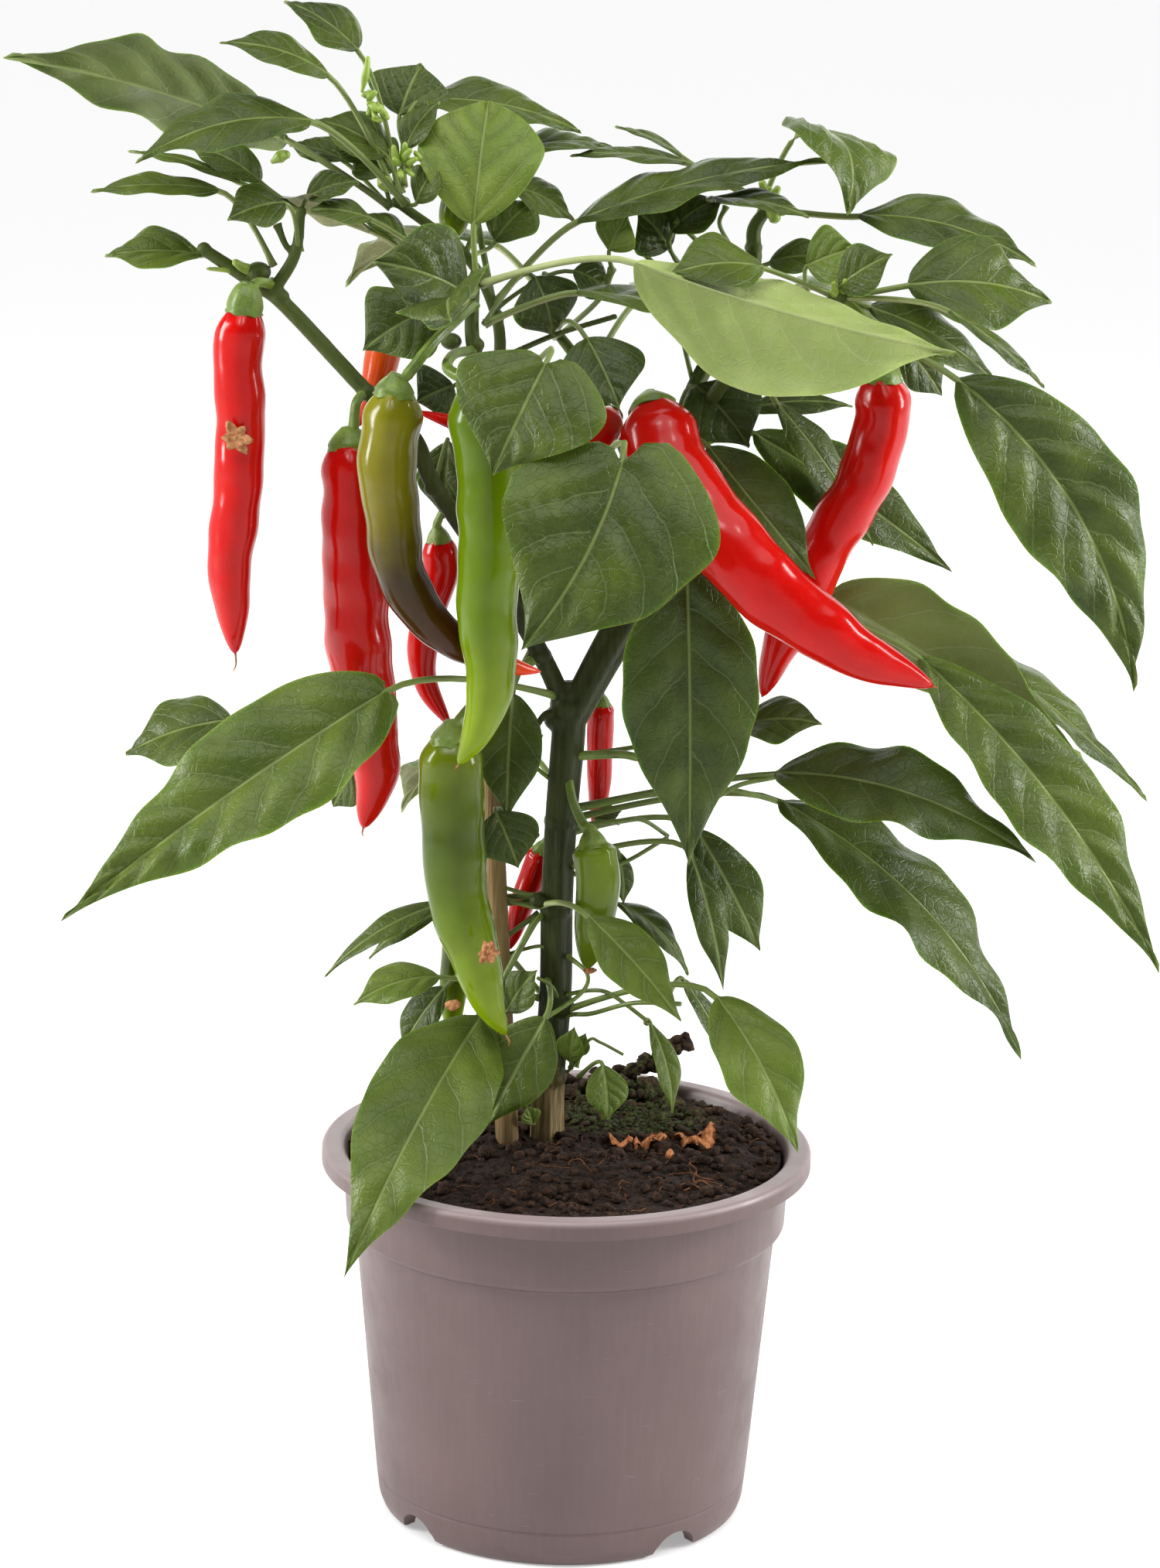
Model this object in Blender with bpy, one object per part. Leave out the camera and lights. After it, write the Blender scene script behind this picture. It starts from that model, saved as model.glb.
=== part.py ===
"""A chilli pepper plant in a round nursery pot, in metres, +Z up.

The origin is on the pot's axis at the ground. +Y is the back of the plant and -Y its front.
Every grown piece (stem system, leaf with its petiole, pepper with its stalk and cap) is one solid.
Design points are in millimetres and are turned into metres where a mesh is made.
"""

from math import cos, pi, radians, sin

import bmesh
import bpy
from mathutils import Vector

MM = 0.001
GAP = 0.3  # clearance between neighbouring solids

# Pot: a 17 cm nursery pot with a turned-down lip, a collar, a tapered body and a notched foot.
RIM_RADIUS = 85.0
RIM_INNER_RADIUS = 78.6
POT_HEIGHT = 132.0
LIP_HEIGHT = 6.5
COLLAR_RADIUS = 76.8
COLLAR_BOTTOM = 104.0
BODY_TOP_RADIUS = 73.2
BODY_BOTTOM_RADIUS = 64.2
BODY_BOTTOM = 5.0
FOOT_RADIUS = 61.0
FOOT_WIDTH = 2.6
FLOOR_UNDERSIDE = 8.0
WALL = 1.5
NOTCH_RADIUS = 8.8
NOTCH_ANGLES = (39, 129, 219, 309)
POT_SIDES = 48

# Soil: fills the pot to a low mound below the rim.
SOIL_EDGE_HEIGHT = 123.0
SOIL_MOUND = 6.6

# Stake: a straight wooden rod pushed into the soil beside the stem.
STAKE_RADIUS = 4.0
STAKE_FOOT = (-15, 0, 36)
STAKE_TOP = (-36, 8, 388)

# Stem system: every row is one shoot as (x, y, z, radius); a side shoot starts inside its parent.
SHOOTS = {
    "trunk": ((-7, 10, 117, 5.6), (-7, 9, 150, 5.4), (-5, 7, 185, 5.4), (-5, 4, 217, 5.3),
        (-4, 1, 248, 5.3), (-2, 0, 279, 5.5), (-2, 0, 288, 5.0)),
    "right": ((-2, 0, 282, 5.2), (8, 0, 302, 5.8), (18, 0, 321, 6.2), (23, 1, 331, 5.6),
        (27, 8, 344, 3.8), (31, 18, 368, 3.2), (39, 25, 394, 2.9), (52, 32, 417, 2.7),
        (58, 36, 434, 2.5), (58, 38, 446, 2.4), (63, 38, 454, 1.8)),
    "side": ((23, 0, 330, 3.4), (35, 3, 331, 2.2), (48, 6, 331, 1.7)),
    "crown": ((31, 18, 368, 2.6), (47, 6, 397, 2.4), (66, -5, 420, 2.2), (86, -10, 430, 2.0)),
    "left": ((-3, 0, 286, 3.4), (-10, -3, 303, 3.2), (-27, -10, 334, 3.0), (-48, -12, 365, 2.8),
        (-55, -12, 381, 2.7), (-71, -10, 396, 2.6), (-98, -8, 424, 2.6), (-108, -8, 431, 2.4),
        (-125, -8, 442, 2.0)),
    "left_tip": ((-102, -8, 429, 2.2), (-95, -8, 441, 1.9), (-93, -8, 455, 1.5)),
    "centre": ((-12, -4, 306, 2.6), (-19, -6, 335, 2.5), (-25, -8, 367, 2.4), (-32, -8, 398, 2.4),
        (-36, -8, 414, 2.4), (-36, -6, 430, 2.2), (-35, -6, 435, 1.8)),
    "upper": ((-30, -8, 390, 2.0), (-27, -1, 407, 2.0), (-29, 3, 422, 1.9), (-39, 5, 440, 1.8),
        (-62, 7, 457, 1.6)),
    "rear": ((27, 8, 345, 2.4), (13, 28, 377, 2.2), (0, 36, 399, 2.0), (-17, 42, 419, 1.5)),
}
STEM_SIDES = 8

# Leaves: name, petiole root on a shoot, blade base, tip, width, turn, bow, sway, fold, widest.
# turn is the way that the top side faces, in degrees about the leaf: 0 forwards, 90 up, 180 back.
# bow and sway are how far the midrib arches and curves sideways, as parts of the blade's length.
# fold is how far each half is raised about the midrib, in degrees.
# widest is where along the blade it is widest, from 0 at the base to 1 at the tip.
LEAVES = (
    ("leaf_upper_left_1", (-64, 9, 455), (-99, 14, 476), (-198, 50, 498), 44, 140, 0.05, 0, 12, 0.4),
    ("leaf_upper_left_2", (-59, 2, 457), (-90, -10, 485), (-146, -26, 472), 30, 60, 0.12, 0, 10, 0.4),
    ("leaf_upper_left_3", (-63, 8, 460), (-85, 2, 499), (-120, -10, 510), 20, 62, 0.1, 0, 10, 0.4),
    ("leaf_top", (-62, 12, 460), (-76, 16, 506), (-101, 22, 521), 28, 66, 0.08, 0, 12, 0.3),
    ("leaf_top_rear", (-60, 9, 462), (-54, 24, 489), (-1, 32, 478), 28, 66, 0.08, 0, 10, 0.35),
    ("leaf_top_round", (-35, -6, 434), (-36, -8, 452), (-32, 16, 490), 43, 6, 0.08, 0, 14, 0.55),
    ("leaf_upper_left_4", (-102, -8, 437), (-120, -12, 462), (-161, -22, 462), 24, 78, 0.05, 0, 10, 0.4),
    ("leaf_upper_left_5", (-36, -7, 424), (-70, 0, 448), (-115, 8, 456), 36, 108, 0.04, 0, 12, 0.4),
    ("leaf_right_top_1", (58, 38, 446), (74, 40, 479), (88, 8, 455), 48, 60, 0.28, 0, 6, 0.4),
    ("leaf_right_top_2", (-29, 3, 424), (-2, 10, 451), (84, 24, 471), 30, 72, 0.05, 0, 10, 0.35),
    ("leaf_right_top_3", (63, 38, 453), (93, 30, 452), (153, 22, 437), 32, 64, 0.1, 0, 10, 0.4),
    ("leaf_right_crown_1", (86, -10, 430), (108, -6, 434), (157, 6, 427), 40, 48, 0.12, 0, 10, 0.4),
    ("leaf_right_crown_2", (86, -10, 430), (120, -28, 429), (152, -34, 405), 18, 78, 0.04, 0, 8, 0.4),
    ("leaf_right_crown_3", (78, -8, 426), (123, -38, 408), (184, -48, 307), 46, 26, 0.08, 0.08, 10, 0.4),
    ("leaf_middle_pale", (-33, -6, 432), (17, -36, 444), (121, -56, 420), 60, 225, 0.04, 0, 40, 0.45),
    ("leaf_middle_dark", (-32, -8, 419), (-2, -2, 429), (65, 8, 412), 32, 86, 0.06, 0, 8, 0.4),
    ("leaf_front_heart", (-19, -6, 335), (14, -88, 388), (-17, -110, 331), 66, 8, 0.05, 0.06, 8, 0.3),
    ("leaf_front_long", (18, 0, 321), (36, -38, 347), (39, -48, 245), 47, 8, 0.05, 0, 12, 0.4),
    ("leaf_front_upper", (-29, -8, 388), (-11, -78, 417), (-27, -90, 383), 50, 16, 0.06, 0, 10, 0.32),
    ("leaf_centre_1", (-9, 38, 408), (2, -30, 418), (13, -46, 398), 30, 24, 0.06, 0, 10, 0.45),
    ("leaf_centre_2", (32, 18, 371), (43, -14, 380), (79, -34, 340), 28, 28, 0.0, 0, 10, 0.4),
    ("leaf_centre_3", (71, -6, 422), (66, 4, 392), (100, 3, 344), 18, 50, 0.05, 0, 8, 0.4),
    ("leaf_centre_4", (31, 18, 368), (59, 14, 380), (128, 16, 333), 30, 40, 0.04, 0, 10, 0.4),
    ("leaf_right_1", (48, 6, 330), (85, 0, 328), (172, -16, 276), 44, 150, 0.02, 0, 24, 0.3),
    ("leaf_right_2", (42, 5, 332), (115, 18, 318), (197, 6, 256), 32, 74, 0.05, 0, 10, 0.4),
    ("leaf_right_3", (42, 4, 329), (115, -20, 311), (196, -56, 213), 38, 36, 0.05, 0.03, 12, 0.45),
    ("leaf_right_4", (0, 0, 270), (58, -4, 283), (84, -10, 285), 24, 60, 0.1, 0, 10, 0.4),
    ("leaf_right_5", (-2, 1, 251), (68, -24, 271), (155, -44, 247), 36, 52, 0.14, 0, 10, 0.35),
    ("leaf_right_6", (-3, 1, 247), (70, -10, 258), (154, -30, 174), 40, 58, 0.12, 0, 10, 0.4),
    ("leaf_left_large", (-5, -1, 291), (-62, -50, 303), (-166, -84, 232), 46, 34, 0.04, 0, 14, 0.28),
    ("leaf_low_1", (-11, 4, 213), (-30, -13, 181), (-73, -84, 111), 44, 24, 0.08, 0, 12, 0.35),
    ("leaf_low_2", (-8, 6, 190), (-8, -20, 183), (-28, -23, 144), 26, 16, 0.04, 0, 10, 0.4),
    ("leaf_low_3", (-14, -5, 310), (-21, -2, 292), (-22, -12, 250), 24, 12, 0.04, 0, 10, 0.4),
    ("leaf_low_4", (-5, 7, 176), (50, -30, 194), (78, -50, 146), 30, 30, 0.12, 0, 12, 0.4),
    ("leaf_low_5", (-10, 4, 216), (6, -34, 223), (38, -42, 189), 22, 36, 0.06, 0, 12, 0.4),
    ("leaf_low_6", (-3, 2, 233), (41, 4, 235), (53, -4, 189), 14, 30, 0.06, 0, 8, 0.4),
    ("leaf_low_7", (-3, 1, 242), (43, 14, 241), (66, 14, 198), 23, 26, 0.06, 0, 8, 0.5),
    ("leaf_back_1", (5, 36, 399), (20, 60, 418), (60, 110, 396), 44, 110, 0.14, 0, 10, 0.4),
    ("leaf_back_2", (-12, 42, 420), (-30, 60, 436), (-84, 104, 414), 42, 110, 0.14, 0, 10, 0.4),
    ("leaf_back_3", (57, 32, 416), (76, 58, 424), (112, 102, 380), 44, 110, 0.16, 0, 10, 0.4),
    ("leaf_back_4", (-2, 1, 250), (-16, 36, 262), (-62, 96, 224), 40, 110, 0.14, 0, 10, 0.4),
)
BLADE_THICKNESS = 0.7
PETIOLE_RADIUS = 1.1
PETIOLE_STATIONS = 4
BLADE_STATIONS = 7

# Peppers: name, colour, stalk points, body points, body diameter, fullness of the tip.
PEPPERS = (
    ("pepper_left_red", "red", ((-103, -8, 431), (-107, -20, 433), (-110, -28, 429)),
     ((-110, -30, 426), (-112, -30, 407), (-111, -30, 385), (-113, -30, 357), (-115, -30, 338),
      (-114, -30, 325), (-113, -30, 310)), 17, 0.55),
    ("pepper_centre_red", "red", ((-71, -10, 396), (-74, -16, 393), (-75, -18, 384)),
     ((-76, -18, 380), (-74, -18, 360), (-74, -18, 336), (-72, -18, 304), (-68, -16, 277),
      (-67, -14, 264), (-71, -12, 246)), 23, 0.6),
    ("pepper_brown", "brown", ((-36, -7, 425), (-40, -30, 424), (-48, -46, 418), (-57, -50, 407)),
     ((-60, -50, 403), (-62, -50, 381), (-61, -50, 364), (-58, -50, 345), (-52, -48, 331),
      (-42, -46, 321), (-24, -40, 311), (-11, -34, 307)), 20, 0.2),
    ("pepper_front_green", "green", ((-36, -8, 410), (-41, -34, 413), (-43, -50, 411),
      (-37, -58, 409)),
     ((-33, -58, 406), (-30, -58, 388), (-28, -58, 363), (-29, -58, 337), (-28, -58, 320),
      (-28, -58, 304), (-32, -58, 291), (-38, -56, 280)), 21, 0.6),
    ("pepper_lower_green", "green", ((-12, -4, 306), (-32, -20, 294), (-39, -30, 288)),
     ((-41, -30, 283), (-40, -30, 259), (-39, -30, 241), (-37, -30, 224), (-32, -30, 208),
      (-27, -31, 191), (-21, -32, 180)), 21, 0.6),
    ("pepper_behind_red", "red", ((-41, -11, 354), (-44, 0, 356), (-47, 4, 350)),
     ((-47, 6, 344), (-46, 8, 331), (-50, 8, 318), (-52, 8, 304), (-50, 8, 291), (-42, 6, 278)), 12, 0.5),
    ("pepper_behind_orange", "orange", ((-38, 5, 439), (-43, 10, 444), (-48, 12, 440)),
     ((-51, 12, 435), (-58, 12, 420), (-65, 12, 410), (-69, 12, 394), (-75, 12, 380)), 14, 0.5),
    ("pepper_crosswise_red", "red", ((13, 28, 377), (12, 10, 391)),
     ((11, -6, 389), (5, -24, 383), (-7, -38, 380), (-22, -44, 382), (-38, -40, 390),
      (-54, -34, 394)), 11, 0.2),
    ("pepper_front_red", "red", ((31, 18, 368), (26, 0, 389), (24, -14, 397)),
     ((24, -20, 394), (29, -32, 379), (39, -42, 365), (51, -52, 353), (64, -56, 340),
      (80, -58, 329), (92, -58, 321), (105, -56, 315), (118, -54, 309)), 25, 0.35),
    ("pepper_right_red", "red", ((86, -10, 430), (94, -14, 423), (98, -16, 411)),
     ((100, -16, 405), (100, -16, 389), (96, -17, 373), (88, -18, 358), (81, -18, 344),
      (74, -18, 326), (67, -16, 309), (63, -14, 295)), 19, 0.4),
    ("pepper_small_green", "green", ((-2, 0, 265), (0, -10, 257), (4, -16, 250)),
     ((7, -20, 245), (9, -22, 232), (8, -22, 218), (6, -18, 200)), 15, 0.7),
    ("pepper_trunk_red_1", "red", ((-4, 1, 242), (-7, 14, 238)),
     ((-10, 16, 233), (-13, 18, 223), (-17, 18, 212), (-21, 18, 196)), 10, 0.5),
    ("pepper_trunk_red_2", "red", ((1, 0, 284), (7, 14, 291)),
     ((9, 18, 285), (9, 20, 270), (9, 20, 256), (8, 20, 238)), 9.5, 0.6),
    ("pepper_behind_green", "green", ((-6, 7, 179), (-24, 34, 192), (-36, 26, 204)),
     ((-39, 22, 201), (-40, 24, 188), (-41, 24, 173), (-40, 24, 162)), 11, 0.7),
    ("pepper_top_green", "green", ((-29, 3, 422), (-37, 18, 456), (-39, 20, 461)),
     ((-41, 20, 459), (-43, 20, 452), (-44, 18, 443)), 11, 0.7),
)
STALK_RADIUS = 1.5
SHOULDER = 0.1
PEPPER_SIDES = 8
PEPPER_STATIONS = 11

# Base colours (linear) and roughness.
FINISHES = {
    "pot": ((0.22, 0.16, 0.165), 0.5),
    "soil": ((0.035, 0.022, 0.015), 0.95),
    "stake": ((0.55, 0.4, 0.22), 0.7),
    "stem": ((0.1, 0.13, 0.035), 0.6),
    "leaf": ((0.05, 0.1, 0.025), 0.45),
    "red": ((0.55, 0.012, 0.008), 0.2),
    "orange": ((0.45, 0.09, 0.012), 0.2),
    "brown": ((0.16, 0.07, 0.02), 0.22),
    "green": ((0.1, 0.25, 0.02), 0.22),
}


def clear_scene():
    for obj in list(bpy.data.objects):
        bpy.data.objects.remove(obj, do_unlink=True)


def material(finish):
    """The Principled material of this finish, made once."""
    found = bpy.data.materials.get(finish)
    if found:
        return found
    made = bpy.data.materials.new(finish)
    made.use_nodes = True
    shader = made.node_tree.nodes["Principled BSDF"]
    colour, roughness = FINISHES[finish]
    shader.inputs["Base Color"].default_value = (*colour, 1)
    shader.inputs["Roughness"].default_value = roughness
    shader.inputs["Metallic"].default_value = 0
    return made


def smooth_path(points, steps):
    """Points at equal parameters along a Catmull-Rom curve through the given ones."""
    knots = [2 * points[0] - points[1], *points, 2 * points[-1] - points[-2]]
    spans = len(points) - 1
    path = []
    for k in range(steps + 1):
        u = k / steps * spans
        i = min(int(u), spans - 1)
        t = u - i
        a, b, c, d = knots[i : i + 4]
        path.append(
            0.5 * (2 * b + (c - a) * t + (2 * a - 5 * b + 4 * c - d) * t**2
                   + (3 * b - a - 3 * c + d) * t**3)
        )
    return path


def loft(name, rings, finish):
    """One closed object through the rings. A ring of one point is the apex of a pointed end."""
    mesh = bmesh.new()
    rows = [[mesh.verts.new(Vector(p) * MM) for p in ring] for ring in rings]
    for low, high in zip(rows, rows[1:]):
        count = max(len(low), len(high))
        for k in range(count):
            nxt = (k + 1) % count
            corners = [low[k % len(low)], low[nxt % len(low)],
                       high[nxt % len(high)], high[k % len(high)]]
            mesh.faces.new(list(dict.fromkeys(corners)))
    for row in (rows[0], rows[-1]):
        if len(row) > 1:
            mesh.faces.new(row)
    bmesh.ops.recalc_face_normals(mesh, faces=mesh.faces)
    bmesh.ops.triangulate(mesh, faces=mesh.faces)
    data = bpy.data.meshes.new(name)
    mesh.to_mesh(data)
    mesh.free()
    data.shade_smooth()
    obj = bpy.data.objects.new(name, data)
    bpy.context.scene.collection.objects.link(obj)
    data.materials.append(material(finish))
    return obj


def circle_ring(radius, height, sides, bump=0.0):
    """A level ring about the Z axis. bump raises and lowers it in gentle waves."""
    if radius == 0:
        return [(0, 0, height)]
    turns = [2 * pi * k / sides for k in range(sides)]
    return [
        (radius * cos(a), radius * sin(a), height + bump * (sin(3 * a + 1) + sin(5 * a)))
        for a in turns
    ]


def round_section(path, radii, sides):
    """Rings of the given radii square to the path, turning as little as possible along it."""
    across = Vector((1, 0, 0))
    rings = []
    for k, (point, radius) in enumerate(zip(path, radii)):
        along = (path[min(k + 1, len(path) - 1)] - path[max(k - 1, 0)]).normalized()
        if k == 0 and abs(along.x) > 0.9:
            across = Vector((0, 1, 0))
        across = (across - along * across.dot(along)).normalized()
        other = along.cross(across)
        if radius == 0:
            rings.append([point])
            continue
        turns = [2 * pi * i / sides for i in range(sides)]
        rings.append([point + radius * (across * cos(a) + other * sin(a)) for a in turns])
    return rings


def cut(target, cutter, operation):
    """Applies an exact Boolean and removes the cutter."""
    change = target.modifiers.new("cut", "BOOLEAN")
    change.operation = operation
    change.object = cutter
    change.solver = "EXACT"
    graph = bpy.context.evaluated_depsgraph_get()
    result = bpy.data.meshes.new_from_object(target.evaluated_get(graph))
    target.modifiers.clear()
    target.data = result
    bpy.data.objects.remove(cutter, do_unlink=True)


def rod(name, path, radius, sides, finish):
    return loft(name, round_section(path, [radius] * len(path), sides), finish)


def make_pot():
    lip_bottom = POT_HEIGHT - LIP_HEIGHT
    profile = (
        (0, FLOOR_UNDERSIDE + 2),
        (BODY_BOTTOM_RADIUS - 2.6, FLOOR_UNDERSIDE + 2),
        (BODY_BOTTOM_RADIUS - WALL + 0.7, FLOOR_UNDERSIDE + 4),
        (BODY_TOP_RADIUS - WALL, COLLAR_BOTTOM - 2.2),
        (COLLAR_RADIUS - WALL - 0.8, COLLAR_BOTTOM + 1),
        (COLLAR_RADIUS - WALL + 0.4, POT_HEIGHT - 4),
        (RIM_INNER_RADIUS - 1.2, POT_HEIGHT - 0.8),
        (RIM_INNER_RADIUS, POT_HEIGHT),
        (RIM_RADIUS - 1.2, POT_HEIGHT),
        (RIM_RADIUS, POT_HEIGHT - 1.2),
        (RIM_RADIUS, lip_bottom),
        (RIM_RADIUS - WALL, lip_bottom),
        (RIM_RADIUS - WALL, POT_HEIGHT - 2.2),
        (COLLAR_RADIUS + 0.6, POT_HEIGHT - 2.6),
        (COLLAR_RADIUS - 0.4, COLLAR_BOTTOM + 1.6),
        (COLLAR_RADIUS - 1.6, COLLAR_BOTTOM),
        (BODY_TOP_RADIUS, COLLAR_BOTTOM - 1),
        (BODY_BOTTOM_RADIUS, BODY_BOTTOM),
        (BODY_BOTTOM_RADIUS - 1.4, 1.6),
        (FOOT_RADIUS, 0),
        (FOOT_RADIUS - FOOT_WIDTH, 0),
        (FOOT_RADIUS - FOOT_WIDTH, FLOOR_UNDERSIDE),
        (0, FLOOR_UNDERSIDE),
    )
    pot = loft("pot", [circle_ring(r, z, POT_SIDES) for r, z in profile], "pot")
    for angle in NOTCH_ANGLES:
        way = Vector((cos(radians(angle)), sin(radians(angle)), 0))
        level = Vector((0, 0, 0))
        ends = [way * (FOOT_RADIUS - 6) + level, way * (BODY_BOTTOM_RADIUS + 4) + level]
        cut(pot, rod("notch", ends, NOTCH_RADIUS, 16, "pot"), "DIFFERENCE")


def make_soil():
    clear = WALL + GAP + 0.1
    profile = (
        (0, FLOOR_UNDERSIDE + 2 + GAP, 0),
        (BODY_BOTTOM_RADIUS - 3.1, FLOOR_UNDERSIDE + 2 + GAP, 0),
        (BODY_BOTTOM_RADIUS - clear + 0.6, FLOOR_UNDERSIDE + 4.2, 0),
        (BODY_TOP_RADIUS - clear, COLLAR_BOTTOM - 2, 0),
        (COLLAR_RADIUS - clear - 1, COLLAR_BOTTOM + 1.2, 0),
        (COLLAR_RADIUS - clear - 0.4, SOIL_EDGE_HEIGHT, 0),
        (62, SOIL_EDGE_HEIGHT + 0.3 * SOIL_MOUND, 0.7),
        (44, SOIL_EDGE_HEIGHT + 0.6 * SOIL_MOUND, 0.8),
        (22, SOIL_EDGE_HEIGHT + 0.95 * SOIL_MOUND, 0.3),
        (0, SOIL_EDGE_HEIGHT + SOIL_MOUND, 0),
    )
    soil = loft("soil", [circle_ring(r, z, POT_SIDES // 2, b) for r, z, b in profile], "soil")
    root = [Vector(p[:3]) for p in SHOOTS["trunk"][:2]]
    root[0].z -= GAP
    cut(soil, rod("root_hole", root, SHOOTS["trunk"][0][3] + 0.5, 12, "soil"), "DIFFERENCE")
    stake = [Vector(STAKE_FOOT), Vector(STAKE_TOP)]
    stake[0] -= (stake[1] - stake[0]).normalized() * GAP
    cut(soil, rod("stake_hole", stake, STAKE_RADIUS + 0.5, 12, "soil"), "DIFFERENCE")


def make_stake():
    foot = Vector(STAKE_FOOT)
    top = Vector(STAKE_TOP)
    along = (top - foot).normalized()
    path = [foot, foot + along * 0.6, top - along * 0.6, top]
    radii = [STAKE_RADIUS - 0.6, STAKE_RADIUS, STAKE_RADIUS, STAKE_RADIUS - 0.6]
    loft("stake", round_section(path, radii, 12), "stake")


def make_stem():
    """All shoots as tubes, joined into one body."""
    stem = None
    for name, rows in SHOOTS.items():
        steps = 2 * (len(rows) - 1)
        path = smooth_path([Vector(row[:3]) for row in rows], steps)
        radii = [v.x for v in smooth_path([Vector((row[3], 0, 0)) for row in rows], steps)]
        sides = STEM_SIDES + 2 if name in ("trunk", "right") else STEM_SIDES
        shoot = loft("stem" if stem is None else name, round_section(path, radii, sides), "stem")
        if stem is None:
            stem = shoot
        else:
            cut(stem, shoot, "UNION")


def clear_of_shoots(point, room):
    """Whether a point is at least this far outside every shoot."""
    for rows in SHOOTS.values():
        for low, high in zip(rows, rows[1:]):
            start = Vector(low[:3])
            span = Vector(high[:3]) - start
            part = min(max((point - start).dot(span) / span.length_squared, 0), 1)
            radius = low[3] + (high[3] - low[3]) * part
            if (point - start - span * part).length < radius + room:
                return False
    return True


def trimmed(path, room):
    """The path without its start inside the stem system, so that it begins clear of it."""
    first = 0
    for k in range(len(path) * 2 // 3):
        if not clear_of_shoots(path[k], room):
            first = k + 1
    return path[first:]


def resample(path, count):
    """count + 1 points at equal distances along the path."""
    lengths = [0.0]
    for low, high in zip(path, path[1:]):
        lengths.append(lengths[-1] + (high - low).length)
    found = []
    k = 0
    for step in range(count + 1):
        target = lengths[-1] * step / count
        while k < len(path) - 2 and lengths[k + 1] < target:
            k += 1
        span = max(lengths[k + 1] - lengths[k], 1e-9)
        found.append(path[k].lerp(path[k + 1], (target - lengths[k]) / span))
    return found


def blade_width(part, widest):
    """Half the blade's width, as a part of the greatest, from its base (0) to its tip (1)."""
    if part < widest:
        return max(sin(pi / 2 * part / widest), 0) ** 0.75
    return max(cos(pi / 2 * (part - widest) / (1 - widest)), 0) ** 1.15


def leaf_section(centre, side, up, half, thickness, fold, round_share):
    """Eight points around a leaf: an octagon in the petiole and a folded sheet in the blade."""
    points = []
    for k in range(8):
        angle = pi - k * pi / 4
        circle = side * (PETIOLE_RADIUS * cos(angle)) + up * (PETIOLE_RADIUS * sin(angle))
        reach = (-1, -0.55, 0, 0.55, 1, 0.55, 0, -0.55)[k]
        level = (0, 1, 1, 1, 0, -1, -1, -1)[k]
        sheet = side * (half * reach * cos(fold)) + up * (
            half * abs(reach) * sin(fold) + level * thickness / 2
        )
        points.append(centre + circle * round_share + sheet * (1 - round_share))
    return points


def make_leaf(name, root, base, tip, width, turn, bow, sway, fold, widest):
    root, base, tip = Vector(root), Vector(base), Vector(tip)
    axis = (tip - base).normalized()
    length = (tip - base).length
    front = (Vector((0, -1, 0)) + axis * axis.y).normalized()
    top = axis.cross(front)
    if top.z < 0:
        top = -top
    face = front * cos(radians(turn)) + top * sin(radians(turn))
    side = face.cross(axis)
    arch = face * (4 * bow * length) + side * (4 * sway * length)

    def midrib(part):
        return base + (tip - base) * part + arch * part * (1 - part)

    lead = ((tip - base) + arch).normalized() * (base - root).length * 0.25
    stalk = []
    for k in range(41):
        t = k / 40
        stalk.append((1 - t) ** 2 * root + 2 * t * (1 - t) * (base - lead) + t * t * base)
    stalk = resample(trimmed(stalk, PETIOLE_RADIUS + GAP + 0.2), PETIOLE_STATIONS)[:-1]
    parts = [k / BLADE_STATIONS for k in range(BLADE_STATIONS)]
    path = stalk + [midrib(part) for part in parts]
    widths = [0] * len(stalk) + [blade_width(part, widest) * width / 2 for part in parts]
    rings = []
    for k, centre in enumerate(path):
        after = path[k + 1] if k + 1 < len(path) else tip
        before = path[k - 1] if k > 0 else centre
        along = (after - before).normalized()
        up = (face - along * face.dot(along)).normalized()
        across = up.cross(along)
        half = max(widths[k], PETIOLE_RADIUS)
        share = 1 if k < len(stalk) else 0.6 if k == len(stalk) else 0
        rings.append(
            leaf_section(centre, across, up, half, BLADE_THICKNESS, radians(fold), share)
        )
    rings.append([tip])
    loft(name, rings, "leaf")


def pepper_radius(part, fullness):
    """The body's radius as a part of its greatest, from the shoulder (0) to the tip (1)."""
    if part < SHOULDER:
        return 0.62 + 0.38 * sin(pi / 2 * part / SHOULDER)
    fall = (part - SHOULDER) / (1 - SHOULDER)
    return (1 - fall ** (1.4 + 3 * fullness)) ** 0.7


def make_pepper(name, finish, stalk, body, diameter, fullness):
    curve = smooth_path([Vector(p) for p in (*stalk, body[0])], 12 * len(stalk))
    stalk_path = resample(trimmed(curve, STALK_RADIUS + GAP + 0.2), 4)[:-1]
    body_path = resample(smooth_path([Vector(p) for p in body], 40), PEPPER_STATIONS)
    radius = diameter / 2
    radii = [STALK_RADIUS] * len(stalk_path)
    for k in range(PEPPER_STATIONS):
        radii.append(radius * pepper_radius(k / PEPPER_STATIONS, fullness))
    rings = round_section(stalk_path + body_path, [*radii, 0], PEPPER_SIDES)
    loft(name, rings, finish)


def main():
    clear_scene()
    make_pot()
    make_soil()
    make_stake()
    make_stem()
    for row in LEAVES:
        make_leaf(*row)
    for row in PEPPERS:
        make_pepper(*row)


main()
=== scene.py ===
"""The looks of a potted chilli pepper plant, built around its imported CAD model.

Design points are in millimetres in the model's frame (+Z up, -Y the front) and are turned into
metres where a mesh is made. Every piece is one closed mesh with a procedural material.
"""

from math import cos, pi, radians, sin
from random import Random

import bpy
import numpy as np
from mathutils import Matrix, Vector, noise


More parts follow.
